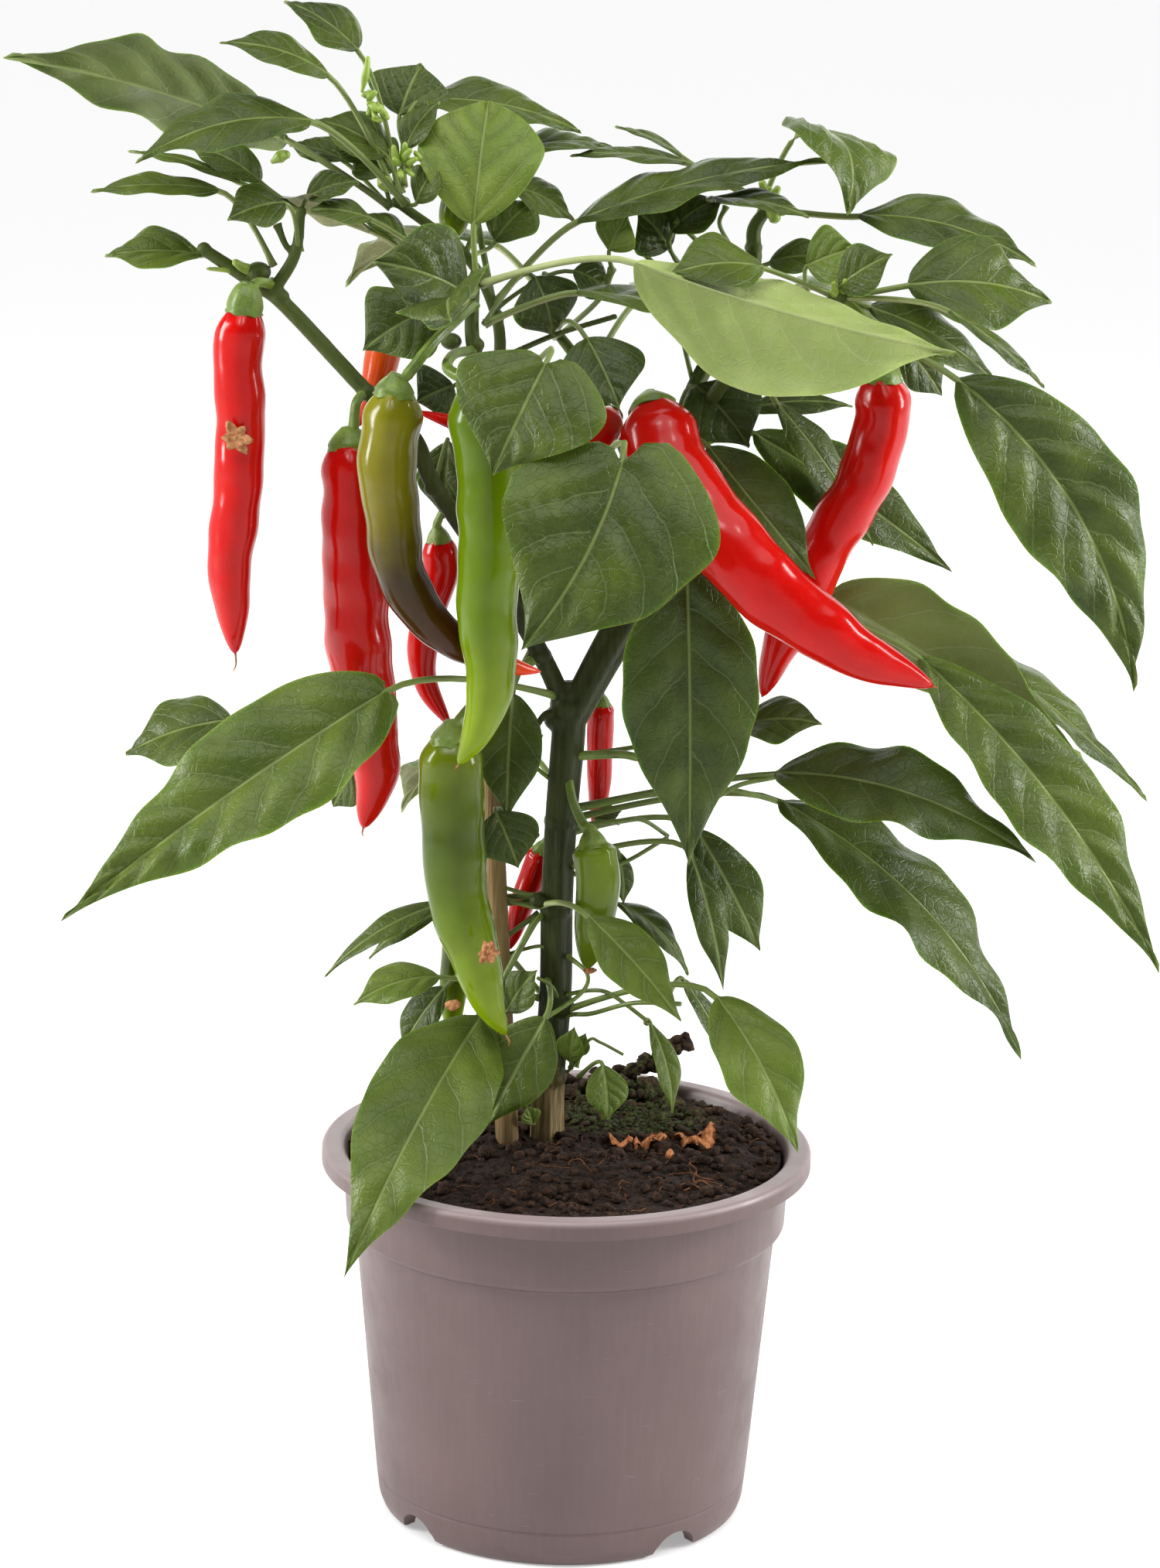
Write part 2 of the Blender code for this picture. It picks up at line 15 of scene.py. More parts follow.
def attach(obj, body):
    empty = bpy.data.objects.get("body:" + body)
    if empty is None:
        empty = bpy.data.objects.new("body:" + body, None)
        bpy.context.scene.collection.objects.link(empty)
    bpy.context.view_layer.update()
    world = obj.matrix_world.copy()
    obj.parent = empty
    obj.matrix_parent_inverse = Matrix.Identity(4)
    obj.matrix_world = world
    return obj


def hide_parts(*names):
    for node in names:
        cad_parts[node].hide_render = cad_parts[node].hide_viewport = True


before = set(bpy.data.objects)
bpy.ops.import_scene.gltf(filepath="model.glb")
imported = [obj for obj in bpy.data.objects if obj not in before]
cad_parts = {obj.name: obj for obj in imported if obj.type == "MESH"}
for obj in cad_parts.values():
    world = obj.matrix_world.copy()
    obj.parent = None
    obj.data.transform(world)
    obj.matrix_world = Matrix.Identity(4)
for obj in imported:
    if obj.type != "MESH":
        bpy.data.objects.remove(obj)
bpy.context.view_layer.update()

MM = 0.001

# Stem system, as in the part: every row is one shoot as (x, y, z, radius).
SHOOTS = {
    "trunk": ((-7, 10, 117, 5.6), (-7, 9, 150, 5.4), (-5, 7, 185, 5.4), (-5, 4, 217, 5.3),
        (-4, 1, 248, 5.3), (-2, 0, 279, 5.5), (-2, 0, 288, 5.0)),
    "right": ((-2, 0, 282, 5.2), (8, 0, 302, 5.8), (18, 0, 321, 6.2), (23, 1, 331, 5.6),
        (27, 8, 344, 3.8), (31, 18, 368, 3.2), (39, 25, 394, 2.9), (52, 32, 417, 2.7),
        (58, 36, 434, 2.5), (58, 38, 446, 2.4), (63, 38, 454, 1.8)),
    "side": ((23, 0, 330, 3.4), (35, 3, 331, 2.2), (48, 6, 331, 1.7)),
    "crown": ((31, 18, 368, 2.6), (47, 6, 397, 2.4), (66, -5, 420, 2.2), (86, -10, 430, 2.0)),
    "left": ((-3, 0, 286, 3.4), (-10, -3, 303, 3.2), (-27, -10, 334, 3.0), (-48, -12, 365, 2.8),
        (-55, -12, 381, 2.7), (-71, -10, 396, 2.6), (-98, -8, 424, 2.6), (-108, -8, 431, 2.4),
        (-125, -8, 442, 2.0)),
    "left_tip": ((-102, -8, 429, 2.2), (-95, -8, 441, 1.9), (-93, -8, 455, 1.5)),
    "centre": ((-12, -4, 306, 2.6), (-19, -6, 335, 2.5), (-25, -8, 367, 2.4), (-32, -8, 398, 2.4),
        (-36, -8, 414, 2.4), (-36, -6, 430, 2.2), (-35, -6, 435, 1.8)),
    "upper": ((-30, -8, 390, 2.0), (-27, -1, 407, 2.0), (-29, 3, 422, 1.9), (-39, 5, 440, 1.8),
        (-62, 7, 457, 1.6)),
    "rear": ((27, 8, 345, 2.4), (13, 28, 377, 2.2), (0, 36, 399, 2.0), (-17, 42, 419, 1.5)),
}

# Leaves, as in the part: name, petiole root, blade base, tip, width, turn, bow, sway, fold, widest.
# turn is the way that the top side faces, in degrees about the leaf: 0 forwards, 90 up, 180 back.
# bow and sway are how far the midrib arches and curves sideways, as parts of the blade's length.
# fold is how far each half is raised about the midrib, in degrees.
LEAVES = (
    ("leaf_upper_left_1", (-64, 9, 455), (-99, 14, 476), (-198, 50, 498), 44, 140, 0.05, 0, 12, 0.4),
    ("leaf_upper_left_2", (-59, 2, 457), (-90, -10, 485), (-146, -26, 472), 30, 60, 0.12, 0, 10, 0.4),
    ("leaf_upper_left_3", (-63, 8, 460), (-85, 2, 499), (-120, -10, 510), 20, 62, 0.1, 0, 10, 0.4),
    ("leaf_top", (-62, 12, 460), (-76, 16, 506), (-101, 22, 521), 28, 66, 0.08, 0, 12, 0.3),
    ("leaf_top_rear", (-60, 9, 462), (-54, 24, 489), (-1, 32, 478), 28, 66, 0.08, 0, 10, 0.35),
    ("leaf_top_round", (-35, -6, 434), (-36, -8, 452), (-32, 16, 490), 43, 6, 0.08, 0, 14, 0.55),
    ("leaf_upper_left_4", (-102, -8, 437), (-120, -12, 462), (-161, -22, 462), 24, 78, 0.05, 0, 10, 0.4),
    ("leaf_upper_left_5", (-36, -7, 424), (-70, 0, 448), (-115, 8, 456), 36, 108, 0.04, 0, 12, 0.4),
    ("leaf_right_top_1", (58, 38, 446), (74, 40, 479), (88, 8, 455), 48, 60, 0.28, 0, 6, 0.4),
    ("leaf_right_top_2", (-29, 3, 424), (-2, 10, 451), (84, 24, 471), 30, 72, 0.05, 0, 10, 0.35),
    ("leaf_right_top_3", (63, 38, 453), (93, 30, 452), (153, 22, 437), 32, 64, 0.1, 0, 10, 0.4),
    ("leaf_right_crown_1", (86, -10, 430), (108, -6, 434), (157, 6, 427), 40, 48, 0.12, 0, 10, 0.4),
    ("leaf_right_crown_2", (86, -10, 430), (120, -28, 429), (152, -34, 405), 18, 78, 0.04, 0, 8, 0.4),
    ("leaf_right_crown_3", (78, -8, 426), (123, -38, 408), (184, -48, 307), 46, 26, 0.08, 0.08, 10, 0.4),
    ("leaf_middle_pale", (-33, -6, 432), (17, -36, 444), (121, -56, 420), 60, 225, 0.04, 0, 40, 0.45),
    ("leaf_middle_dark", (-32, -8, 419), (-2, -2, 429), (65, 8, 412), 32, 86, 0.06, 0, 8, 0.4),
    ("leaf_front_heart", (-19, -6, 335), (14, -88, 388), (-17, -110, 331), 66, 8, 0.05, 0.06, 8, 0.3),
    ("leaf_front_long", (18, 0, 321), (36, -38, 347), (39, -48, 245), 47, 8, 0.05, 0, 12, 0.4),
    ("leaf_front_upper", (-29, -8, 388), (-11, -78, 417), (-27, -90, 383), 50, 16, 0.06, 0, 10, 0.32),
    ("leaf_centre_1", (-9, 38, 408), (2, -30, 418), (13, -46, 398), 30, 24, 0.06, 0, 10, 0.45),
    ("leaf_centre_2", (32, 18, 371), (43, -14, 380), (79, -34, 340), 28, 28, 0.0, 0, 10, 0.4),
    ("leaf_centre_3", (71, -6, 422), (66, 4, 392), (100, 3, 344), 18, 50, 0.05, 0, 8, 0.4),
    ("leaf_centre_4", (31, 18, 368), (59, 14, 380), (128, 16, 333), 30, 40, 0.04, 0, 10, 0.4),
    ("leaf_right_1", (48, 6, 330), (85, 0, 328), (172, -16, 276), 44, 150, 0.02, 0, 24, 0.3),
    ("leaf_right_2", (42, 5, 332), (115, 18, 318), (197, 6, 256), 32, 74, 0.05, 0, 10, 0.4),
    ("leaf_right_3", (42, 4, 329), (115, -20, 311), (196, -56, 213), 38, 36, 0.05, 0.03, 12, 0.45),
    ("leaf_right_4", (0, 0, 270), (58, -4, 283), (84, -10, 285), 24, 60, 0.1, 0, 10, 0.4),
    ("leaf_right_5", (-2, 1, 251), (68, -24, 271), (155, -44, 247), 36, 52, 0.14, 0, 10, 0.35),
    ("leaf_right_6", (-3, 1, 247), (70, -10, 258), (154, -30, 174), 40, 58, 0.12, 0, 10, 0.4),
    ("leaf_left_large", (-5, -1, 291), (-62, -50, 303), (-166, -84, 232), 46, 34, 0.04, 0, 14, 0.28),
    ("leaf_low_1", (-11, 4, 213), (-30, -13, 181), (-73, -84, 111), 44, 24, 0.08, 0, 12, 0.35),
    ("leaf_low_2", (-8, 6, 190), (-8, -20, 183), (-28, -23, 144), 26, 16, 0.04, 0, 10, 0.4),
    ("leaf_low_3", (-14, -5, 310), (-21, -2, 292), (-22, -12, 250), 24, 12, 0.04, 0, 10, 0.4),
    ("leaf_low_4", (-5, 7, 176), (50, -30, 194), (78, -50, 146), 30, 30, 0.12, 0, 12, 0.4),
    ("leaf_low_5", (-10, 4, 216), (6, -34, 223), (38, -42, 189), 22, 36, 0.06, 0, 12, 0.4),
    ("leaf_low_6", (-3, 2, 233), (41, 4, 235), (53, -4, 189), 14, 30, 0.06, 0, 8, 0.4),
    ("leaf_low_7", (-3, 1, 242), (43, 14, 241), (66, 14, 198), 23, 26, 0.06, 0, 8, 0.5),
    ("leaf_back_1", (5, 36, 399), (20, 60, 418), (60, 110, 396), 44, 110, 0.14, 0, 10, 0.4),
    ("leaf_back_2", (-12, 42, 420), (-30, 60, 436), (-84, 104, 414), 42, 110, 0.14, 0, 10, 0.4),
    ("leaf_back_3", (57, 32, 416), (76, 58, 424), (112, 102, 380), 44, 110, 0.16, 0, 10, 0.4),
    ("leaf_back_4", (-2, 1, 250), (-16, 36, 262), (-62, 96, 224), 40, 110, 0.14, 0, 10, 0.4),
)

# Leaves too small for a solid of their own in the part, in the same form.
SMALL_LEAVES = (
    ("L3", (-61, 6, 460), (-66, 10, 472), (-90, 12, 483), 26, 60, 0.1, 0, 12, 0.35),
    ("L6", (-55, 14, 463), (-62, 24, 484), (-55, 34, 500), 30, 20, 0.1, 0, 10, 0.45),
    ("L7", (-61, 12, 462), (-59, 6, 475), (-48, 10, 490), 16, 50, 0.1, 0, 14, 0.4),
    ("L9", (-29, 12, 447), (-23, 28, 472), (12, 40, 471), 24, 80, 0.1, 0, 10, 0.4),
    ("L10", (-66, 12, 456), (-81, 20, 469), (-99, 24, 473), 22, 70, 0.08, 0, 12, 0.4),
    ("L10b", (-64, 8, 455), (-72, 12, 471), (-84, 14, 473), 13, 60, 0.08, 0, 12, 0.4),
    ("L11", (-93, -8, 442), (-91, -4, 459), (-74, -2, 464), 24, 70, 0.1, 0, 14, 0.35),
    ("L12", (-93, -8, 455), (-113, -6, 464), (-151, 0, 473), 14, 84, 0.05, 0, 8, 0.4),
    ("L13", (-93, -8, 455), (-107, -2, 464), (-131, 10, 473), 20, 64, 0.1, 0, 10, 0.4),
    ("L15", (-94, -8, 442), (-98, -18, 459), (-116, -26, 454), 22, 50, 0.1, 0, 14, 0.45),
    ("L17", (-36, -6, 430), (-70, -8, 453), (-91, -14, 456), 16, 66, 0.08, 0, 12, 0.4),
    ("L17b", (-36, -6, 429), (-59, 0, 445), (-75, 4, 453), 17, 70, 0.08, 0, 12, 0.4),
    ("L18", (-125, -8, 442), (-126, -8, 440), (-158, -8, 439), 26, 66, 0.06, 0, 14, 0.5),
    ("L20", (-35, -8, 431), (-38, -30, 432), (-68, -44, 444), 38, 34, 0.14, 0, 14, 0.42),
    ("L21", (-36, -8, 430), (-40, -46, 432), (-41, -84, 431), 36, 74, 0.1, 0, 20, 0.5),
    ("L22", (-35, -8, 424), (-49, -26, 426), (-71, -38, 414), 32, 30, 0.12, 0, 10, 0.45),
    ("L23", (-36, -8, 414), (-42, -14, 399), (-54, -18, 394), 22, 30, 0.08, 0, 12, 0.5),
    ("L24", (-48, -12, 365), (-44, 4, 377), (-45, 2, 351), 20, 10, 0.05, 0, 12, 0.45),
    ("M1", (-32, -8, 419), (-16, 12, 432), (-10, 14, 412), 30, 40, 0.1, 0, 10, 0.45),
    ("M2", (-29, 3, 422), (-3, 20, 433), (10, 22, 425), 22, 60, 0.1, 0, 10, 0.45),
    ("M3", (-36, 0, 441), (-29, 10, 444), (-15, 18, 457), 24, 50, 0.1, 0, 10, 0.45),
    ("M4", (-39, 5, 440), (-24, 20, 461), (-3, 24, 449), 22, 66, 0.1, 0, 10, 0.4),
    ("M5", (-60, 8, 460), (-63, 10, 467), (-77, 16, 472), 24, 50, 0.08, 0, 12, 0.5),
    ("M6", (-62, 7, 457), (-55, 0, 458), (-47, -2, 471), 16, 44, 0.1, 0, 12, 0.5),
    ("R3", (63, 38, 453), (33, 40, 470), (10, 46, 479), 11, 80, 0.06, 0, 12, 0.45),
    ("R1b", (63, 38, 454), (34, 30, 469), (-5, 26, 471), 17, 78, 0.05, 0, 10, 0.4),
    ("R5", (63, 38, 454), (43, 16, 459), (75, 0, 455), 20, 76, 0.06, 0, 12, 0.45),
    ("R6", (52, 32, 417), (30, 20, 447), (48, 24, 458), 24, 60, 0.1, 0, 10, 0.4),
    ("R7", (52, 32, 416), (29, 24, 441), (18, 22, 453), 26, 40, 0.1, 0, 12, 0.5),
    ("R8", (10, 14, 435), (9, 10, 442), (15, 8, 454), 18, 30, 0.06, 0, 14, 0.5),
    ("R9", (84, -8, 430), (59, -20, 441), (28, -30, 439), 30, 60, 0.1, 0, 12, 0.45),
    ("R12", (58, 36, 434), (63, 20, 437), (84, 14, 440), 16, 50, 0.1, 0, 12, 0.45),
    ("R13", (77, 0, 425), (75, 2, 439), (91, -4, 446), 22, 30, 0.08, 0, 14, 0.5),
    ("R14", (86, -8, 429), (85, -12, 434), (102, -18, 446), 20, 40, 0.08, 0, 12, 0.45),
    ("R15", (86, -10, 430), (95, -10, 427), (140, 4, 399), 26, 60, 0.08, 0, 10, 0.4),
    ("R16", (86, -4, 428), (107, 10, 413), (122, 14, 394), 18, 30, 0.06, 0, 10, 0.5),
    ("C6", (31, 18, 368), (39, 12, 396), (57, 2, 377), 34, 36, 0.1, 0, 10, 0.45),
    ("C10", (39, 25, 394), (56, 20, 387), (93, 24, 388), 14, 60, 0.08, 0, 8, 0.45),
    ("B2", (-62, -50, 303), (-117, 10, 278), (-154, 14, 264), 34, 60, 0.08, 0, 10, 0.45),
    ("B2b", (-62, -40, 299), (-75, 4, 262), (-82, 6, 249), 16, 30, 0.06, 0, 12, 0.5),
    ("B3", (-12, 5, 219), (-42, 10, 215), (-85, 6, 188), 12, 60, 0.1, 0, 10, 0.4),
    ("B3b", (-12, 5, 217), (-45, 14, 210), (-70, 16, 192), 10, 60, 0.1, 0, 10, 0.4),
    ("B4", (-10, 6, 182), (-45, -4, 192), (-74, -10, 183), 20, 60, 0.12, 0, 12, 0.45),
    ("B5", (-11, 5, 213), (-43, 4, 186), (-58, 4, 162), 16, 40, 0.08, 0, 12, 0.45),
    ("B8", (-12, 3, 241), (-26, -12, 253), (-18, -18, 235), 24, 20, 0.08, 0, 12, 0.45),
    ("B10", (-23, 5, 188), (-21, -6, 181), (-11, -10, 197), 16, 40, 0.08, 0, 12, 0.5),
    ("B14", (4, 6, 154), (12, -6, 162), (14, -12, 144), 16, 20, 0.08, 0, 12, 0.5),
    ("B15", (27, 0, 176), (28, -12, 179), (36, -22, 150), 11, 40, 0.1, 0, 16, 0.5),
    ("B16", (34, 0, 185), (39, 6, 190), (57, 2, 156), 12, 60, 0.06, 0, 12, 0.4),
    ("B19", (6, -10, 216), (16, 8, 216), (41, 6, 191), 17, 70, 0.12, 0, 10, 0.4),
    ("B20", (-31, 0, 178), (-33, 0, 170), (-27, -2, 160), 10, 30, 0.08, 0, 12, 0.5),
    ("B21", (0, 0, 231), (16, 6, 235), (18, 8, 216), 9, 30, 0.08, 0, 12, 0.5),
    ("B22", (16, 4, 246), (8, 10, 246), (17, 12, 248), 9, 60, 0.08, 0, 12, 0.5),
    ("B23", (1, 7, 157), (1, 4, 160), (2, 0, 174), 11, 20, 0.1, 0, 16, 0.5),
    ("B24", (3, 7, 157), (4, 8, 161), (6, 6, 170), 7, 20, 0.1, 0, 16, 0.5),
    ("B25", (-9, 10, 139), (-12, 2, 138), (-14, 0, 145), 8, 20, 0.1, 0, 16, 0.5),
)

# Peppers, as in the part: name, colour, stalk points, body points, body diameter, fullness of the tip.
PEPPERS = (
    ("pepper_left_red", "red", ((-103, -8, 431), (-107, -20, 433), (-110, -28, 429)),
     ((-110, -30, 426), (-112, -30, 407), (-111, -30, 385), (-113, -30, 357), (-115, -30, 338),
      (-114, -30, 325), (-113, -30, 310)), 17, 0.55),
    ("pepper_centre_red", "red", ((-71, -10, 396), (-74, -16, 393), (-75, -18, 384)),
     ((-76, -18, 380), (-74, -18, 360), (-74, -18, 336), (-72, -18, 304), (-68, -16, 277),
      (-67, -14, 264), (-71, -12, 246)), 23, 0.6),
    ("pepper_brown", "brown", ((-36, -7, 425), (-40, -30, 424), (-48, -46, 418), (-57, -50, 407)),
     ((-60, -50, 403), (-62, -50, 381), (-61, -50, 364), (-58, -50, 345), (-52, -48, 331),
      (-42, -46, 321), (-24, -40, 311), (-11, -34, 307)), 20, 0.2),
    ("pepper_front_green", "green", ((-36, -8, 410), (-41, -34, 413), (-43, -50, 411),
      (-37, -58, 409)),
     ((-33, -58, 406), (-30, -58, 388), (-28, -58, 363), (-29, -58, 337), (-28, -58, 320),
      (-28, -58, 304), (-32, -58, 291), (-38, -56, 280)), 21, 0.6),
    ("pepper_lower_green", "green", ((-12, -4, 306), (-32, -20, 294), (-39, -30, 288)),
     ((-41, -30, 283), (-40, -30, 259), (-39, -30, 241), (-37, -30, 224), (-32, -30, 208),
      (-27, -31, 191), (-21, -32, 180)), 21, 0.6),
    ("pepper_behind_red", "red", ((-41, -11, 354), (-44, 0, 356), (-47, 4, 350)),
     ((-47, 6, 344), (-46, 8, 331), (-50, 8, 318), (-52, 8, 304), (-50, 8, 291), (-42, 6, 278)), 12, 0.5),
    ("pepper_behind_orange", "orange", ((-38, 5, 439), (-43, 10, 444), (-48, 12, 440)),
     ((-51, 12, 435), (-58, 12, 420), (-65, 12, 410), (-69, 12, 394), (-75, 12, 380)), 14, 0.5),
    ("pepper_crosswise_red", "red", ((13, 28, 377), (12, 10, 391)),
     ((11, -6, 389), (5, -24, 383), (-7, -38, 380), (-22, -44, 382), (-38, -40, 390),
      (-54, -34, 394)), 11, 0.2),
    ("pepper_front_red", "red", ((31, 18, 368), (26, 0, 389), (24, -14, 397)),
     ((24, -20, 394), (29, -32, 379), (39, -42, 365), (51, -52, 353), (64, -56, 340),
      (80, -58, 329), (92, -58, 321), (105, -56, 315), (118, -54, 309)), 25, 0.35),
    ("pepper_right_red", "red", ((86, -10, 430), (94, -14, 423), (98, -16, 411)),
     ((100, -16, 405), (100, -16, 389), (96, -17, 373), (88, -18, 358), (81, -18, 344),
      (74, -18, 326), (67, -16, 309), (63, -14, 295)), 19, 0.4),
    ("pepper_small_green", "green", ((-2, 0, 265), (0, -10, 257), (4, -16, 250)),
     ((7, -20, 245), (9, -22, 232), (8, -22, 218), (6, -18, 200)), 15, 0.7),
    ("pepper_trunk_red_1", "red", ((-4, 1, 242), (-7, 14, 238)),
     ((-10, 16, 233), (-13, 18, 223), (-17, 18, 212), (-21, 18, 196)), 10, 0.5),
    ("pepper_trunk_red_2", "red", ((1, 0, 284), (7, 14, 291)),
     ((9, 18, 285), (9, 20, 270), (9, 20, 256), (8, 20, 238)), 9.5, 0.6),
    ("pepper_behind_green", "green", ((-6, 7, 179), (-24, 34, 192), (-36, 26, 204)),
     ((-39, 22, 201), (-40, 24, 188), (-41, 24, 173), (-40, 24, 162)), 11, 0.7),
    ("pepper_top_green", "green", ((-29, 3, 422), (-37, 18, 456), (-39, 20, 461)),
     ((-41, 20, 459), (-43, 20, 452), (-44, 18, 443)), 11, 0.7),
)

# Twigs and petioles too thin for the part: route points and radius. WOODY ones are part of the stem.
TWIGS = {
    "tip_a": (((-101, -8, 451), (-98, -8, 444), (-95, -8, 441)), 1.1),
    "right_1": (((-3, 0, 270), (15, -4, 272), (22, -4, 271)), 1.5),
    "right_3": (((-3, 1, 250), (13, -4, 255), (27, -8, 259), (51, -14, 263), (70, -10, 258)), 0.9),
    "right_4": (((46, -12, 258), (56, -20, 266), (68, -24, 270)), 0.9),
    "right_6": (((-3, 1, 245), (15, 2, 247), (24, 4, 247), (33, 10, 240)), 0.8),
    "right_7": (((-4, 2, 227), (16, 4, 231), (33, 12, 239)), 0.8),
    "low_right": (((-5, 7, 174), (1, 4, 177), (8, -4, 180), (22, -14, 187), (38, -24, 190)), 0.9),
    "low_right_b": (((-5, 6, 182), (4, 2, 186), (12, -4, 188), (19, -8, 185), (27, -12, 180)), 0.8),
    "left_1": (((-4, 3, 222), (-12, 2, 220), (-29, 4, 224)), 0.8),
    "left_2": (((-4, 4, 216), (-13, 2, 216), (-29, 8, 219)), 0.8),
    "left_3": (((-8, 5, 215), (-15, -6, 208), (-23, -10, 193), (-30, -13, 181)), 0.9),
    "left_4": (((-3, 6, 180), (-6, -3, 189), (-11, -6, 193)), 0.7),
    "front_1": (((-2, 4, 199), (6, -3, 194), (4, -7, 188), (-8, -18, 182)), 0.8),
    "left_5": (((-7, 5, 199), (-11, 2, 202), (-24, 6, 197)), 0.7),
    "left_7": (((-4, 1, 260), (-8, 0, 262), (-14, -6, 270), (-11, -6, 279)), 0.8),
    "base_twig": (((-4, 8, 152), (1, 6, 157), (7, 0, 169), (11, -2, 169), (19, -6, 166)), 0.6),
    "crown_dark": (((-29, 0, 405), (-9, 16, 412), (12, 22, 418)), 1.0),
    "stub_right": (((17, 0, 326), (24, -6, 325), (27, -8, 320), (29, -8, 316)), 1.4),
    "stub_left": (((-5, 0, 283), (-9, -4, 286), (-12, -6, 283), (-14, -6, 279)), 1.2),
    "crown_cross": (((57, 34, 423), (61, 26, 424), (72, 8, 426), (83, -6, 428)), 1.2),
    "rear_a": (((16, 20, 443), (23, 22, 437), (29, 24, 430), (38, 25, 396)), 0.9),
    "rear_b": (((31, 20, 451), (38, 24, 444), (42, 28, 438), (50, 31, 414)), 0.9),
    "rear_c": (((48, 26, 455), (46, 28, 449), (50, 33, 441), (56, 36, 430)), 0.8),
    "rear_d": (((-12, 20, 432), (-16, 24, 424), (-16, 40, 418)), 1.0),
    "centre_up": (((10, 14, 435), (6, 20, 424), (-8, 38, 408)), 1.0),
}

# Swollen joints of the stem: centre and radius.
SWELLINGS = (
    (-4, 1, 283, 6.6), (-2, 0, 292, 5.8), (21, 0, 328, 6.4), (26, 8, 342, 4.8), (31, 18, 367, 4.4),
    (-12, -4, 306, 4.2), (-4, 6, 180, 5.9), (-5, 4, 215, 5.9), (-4, 1, 247, 5.9), (-48, -12, 364, 3.6),
    (-71, -10, 396, 3.4), (-100, -8, 427, 3.4), (-31, -8, 392, 3.2), (-35, -8, 412, 3.2),
    (58, 37, 440, 3.2), (86, -10, 430, 3.0), (-28, 3, 420, 2.6), (-6, 7, 154, 6.0), (-60, 7, 457, 2.6),
    (-107, -8, 435, 4.3), (-43, -8, 413, 3.6), (-11, 0, 219, 3.4),
)

WOODY = ("tip_a", "crown_dark", "stub_right", "stub_left", "crown_cross")

CAMERA_PLACE = (0.0024, -1.587, 0.659)
CAMERA_PITCH = 90 - 14.1
CAMERA_ROLL = 1.04
CAMERA_LENS = 110.11


def catmull(points, steps):
    """Points at equal parameters along a Catmull-Rom curve through the given ones, as an array."""
    given = np.array(points, float)
    knots = np.vstack([2 * given[0] - given[1], given, 2 * given[-1] - given[-2]])
    spans = len(given) - 1
    u = np.linspace(0, spans, steps + 1)
    i = np.minimum(u.astype(int), spans - 1)
    t = (u - i)[:, None]
    a, b, c, d = (knots[i + k] for k in range(4))
    return 0.5 * (2 * b + (c - a) * t + (2 * a - 5 * b + 4 * c - d) * t**2
                  + (3 * b - a - 3 * c + d) * t**3)


def resample(path, count):
    """count + 1 points at equal distances along the path."""
    lengths = np.concatenate([[0], np.cumsum(np.linalg.norm(np.diff(path, axis=0), axis=1))])
    wanted = np.linspace(0, lengths[-1], count + 1)
    return np.stack([np.interp(wanted, lengths, path[:, k]) for k in range(path.shape[1])], axis=1)


def unit(vectors):
    return vectors / np.maximum(np.linalg.norm(vectors, axis=-1, keepdims=True), 1e-9)


def along(path):
    """The path's direction at each of its points."""
    return unit(np.gradient(path, axis=0))


def frames(path):
    """Two directions square to the path and each other at each point, turning as little as possible."""
    ways = along(path)
    across = np.array((1, 0, 0), float)
    if abs(ways[0] @ across) > 0.9:
        across = np.array((0, 1, 0), float)
    firsts = []
    for way in ways:
        across = unit(across - way * (across @ way))
        firsts.append(across)
    firsts = np.array(firsts)
    return firsts, np.cross(ways, firsts)


def lofted(rings, first, last):
    """Points and quads of rings with equal counts, closed by fans to the points first and last."""
    rows, count = rings.shape[:2]
    points = np.vstack([rings.reshape(-1, 3), [first], [last]])
    k = np.arange(count)
    nxt = (k + 1) % count
    faces = []
    for row in range(rows - 1):
        low, high = row * count, (row + 1) * count
        faces += np.stack([low + k, low + nxt, high + nxt, high + k], axis=1).tolist()
    start, end = rows * count, rows * count + 1
    faces += [[start, int(b), int(a)] for a, b in zip(k, nxt)]
    top = (rows - 1) * count
    faces += [[end, int(top + a), int(top + b)] for a, b in zip(k, nxt)]
    return points, faces


def joined(parts):
    """Several (points, faces) as one."""
    points, faces, base = [], [], 0
    for some, polygons in parts:
        points.append(some)
        faces += [[v + base for v in polygon] for polygon in polygons]
        base += len(some)
    return np.vstack(points), faces


def outward(points, faces):
    """The faces turned so that the closed mesh faces out."""
    corners = np.array([polygon if len(polygon) == 4 else [*polygon, polygon[-1]] for polygon in faces])
    a, b, c, d = (np.asarray(points)[corners[:, k]] for k in range(4))
    volume = (a * (np.cross(b, c) + np.cross(c, d))).sum()
    return faces if volume > 0 else [polygon[::-1] for polygon in faces]


def mesh_object(name, points, faces, look, sharp=None, **attributes):
    """One mesh object from millimetre points. Attributes are arrays per point, or per face ("_face")."""
    data = bpy.data.meshes.new(name)
    data.from_pydata((np.asarray(points) * MM).tolist(), [], faces)
    data.shade_smooth()
    if sharp:
        data.set_sharp_from_angle(angle=radians(sharp))
    for key, values in attributes.items():
        domain = "FACE" if key.endswith("_face") else "POINT"
        kind = "FLOAT" if np.ndim(values) == 1 else "FLOAT_VECTOR"
        made = data.attributes.new(key, kind, domain)
        made.data.foreach_set("value" if kind == "FLOAT" else "vector",
                              np.asarray(values, np.float32).ravel())
    data.materials.append(look)
    obj = bpy.data.objects.new(name, data)
    bpy.context.scene.collection.objects.link(obj)
    return obj


def add_piece(obj, slot, *nodes):
    """The object as a piece of the plant's one body, standing for the CAD nodes."""
    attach(obj, "root")
    if nodes:
        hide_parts(*nodes)


# ---------------------------------------------------------------- materials


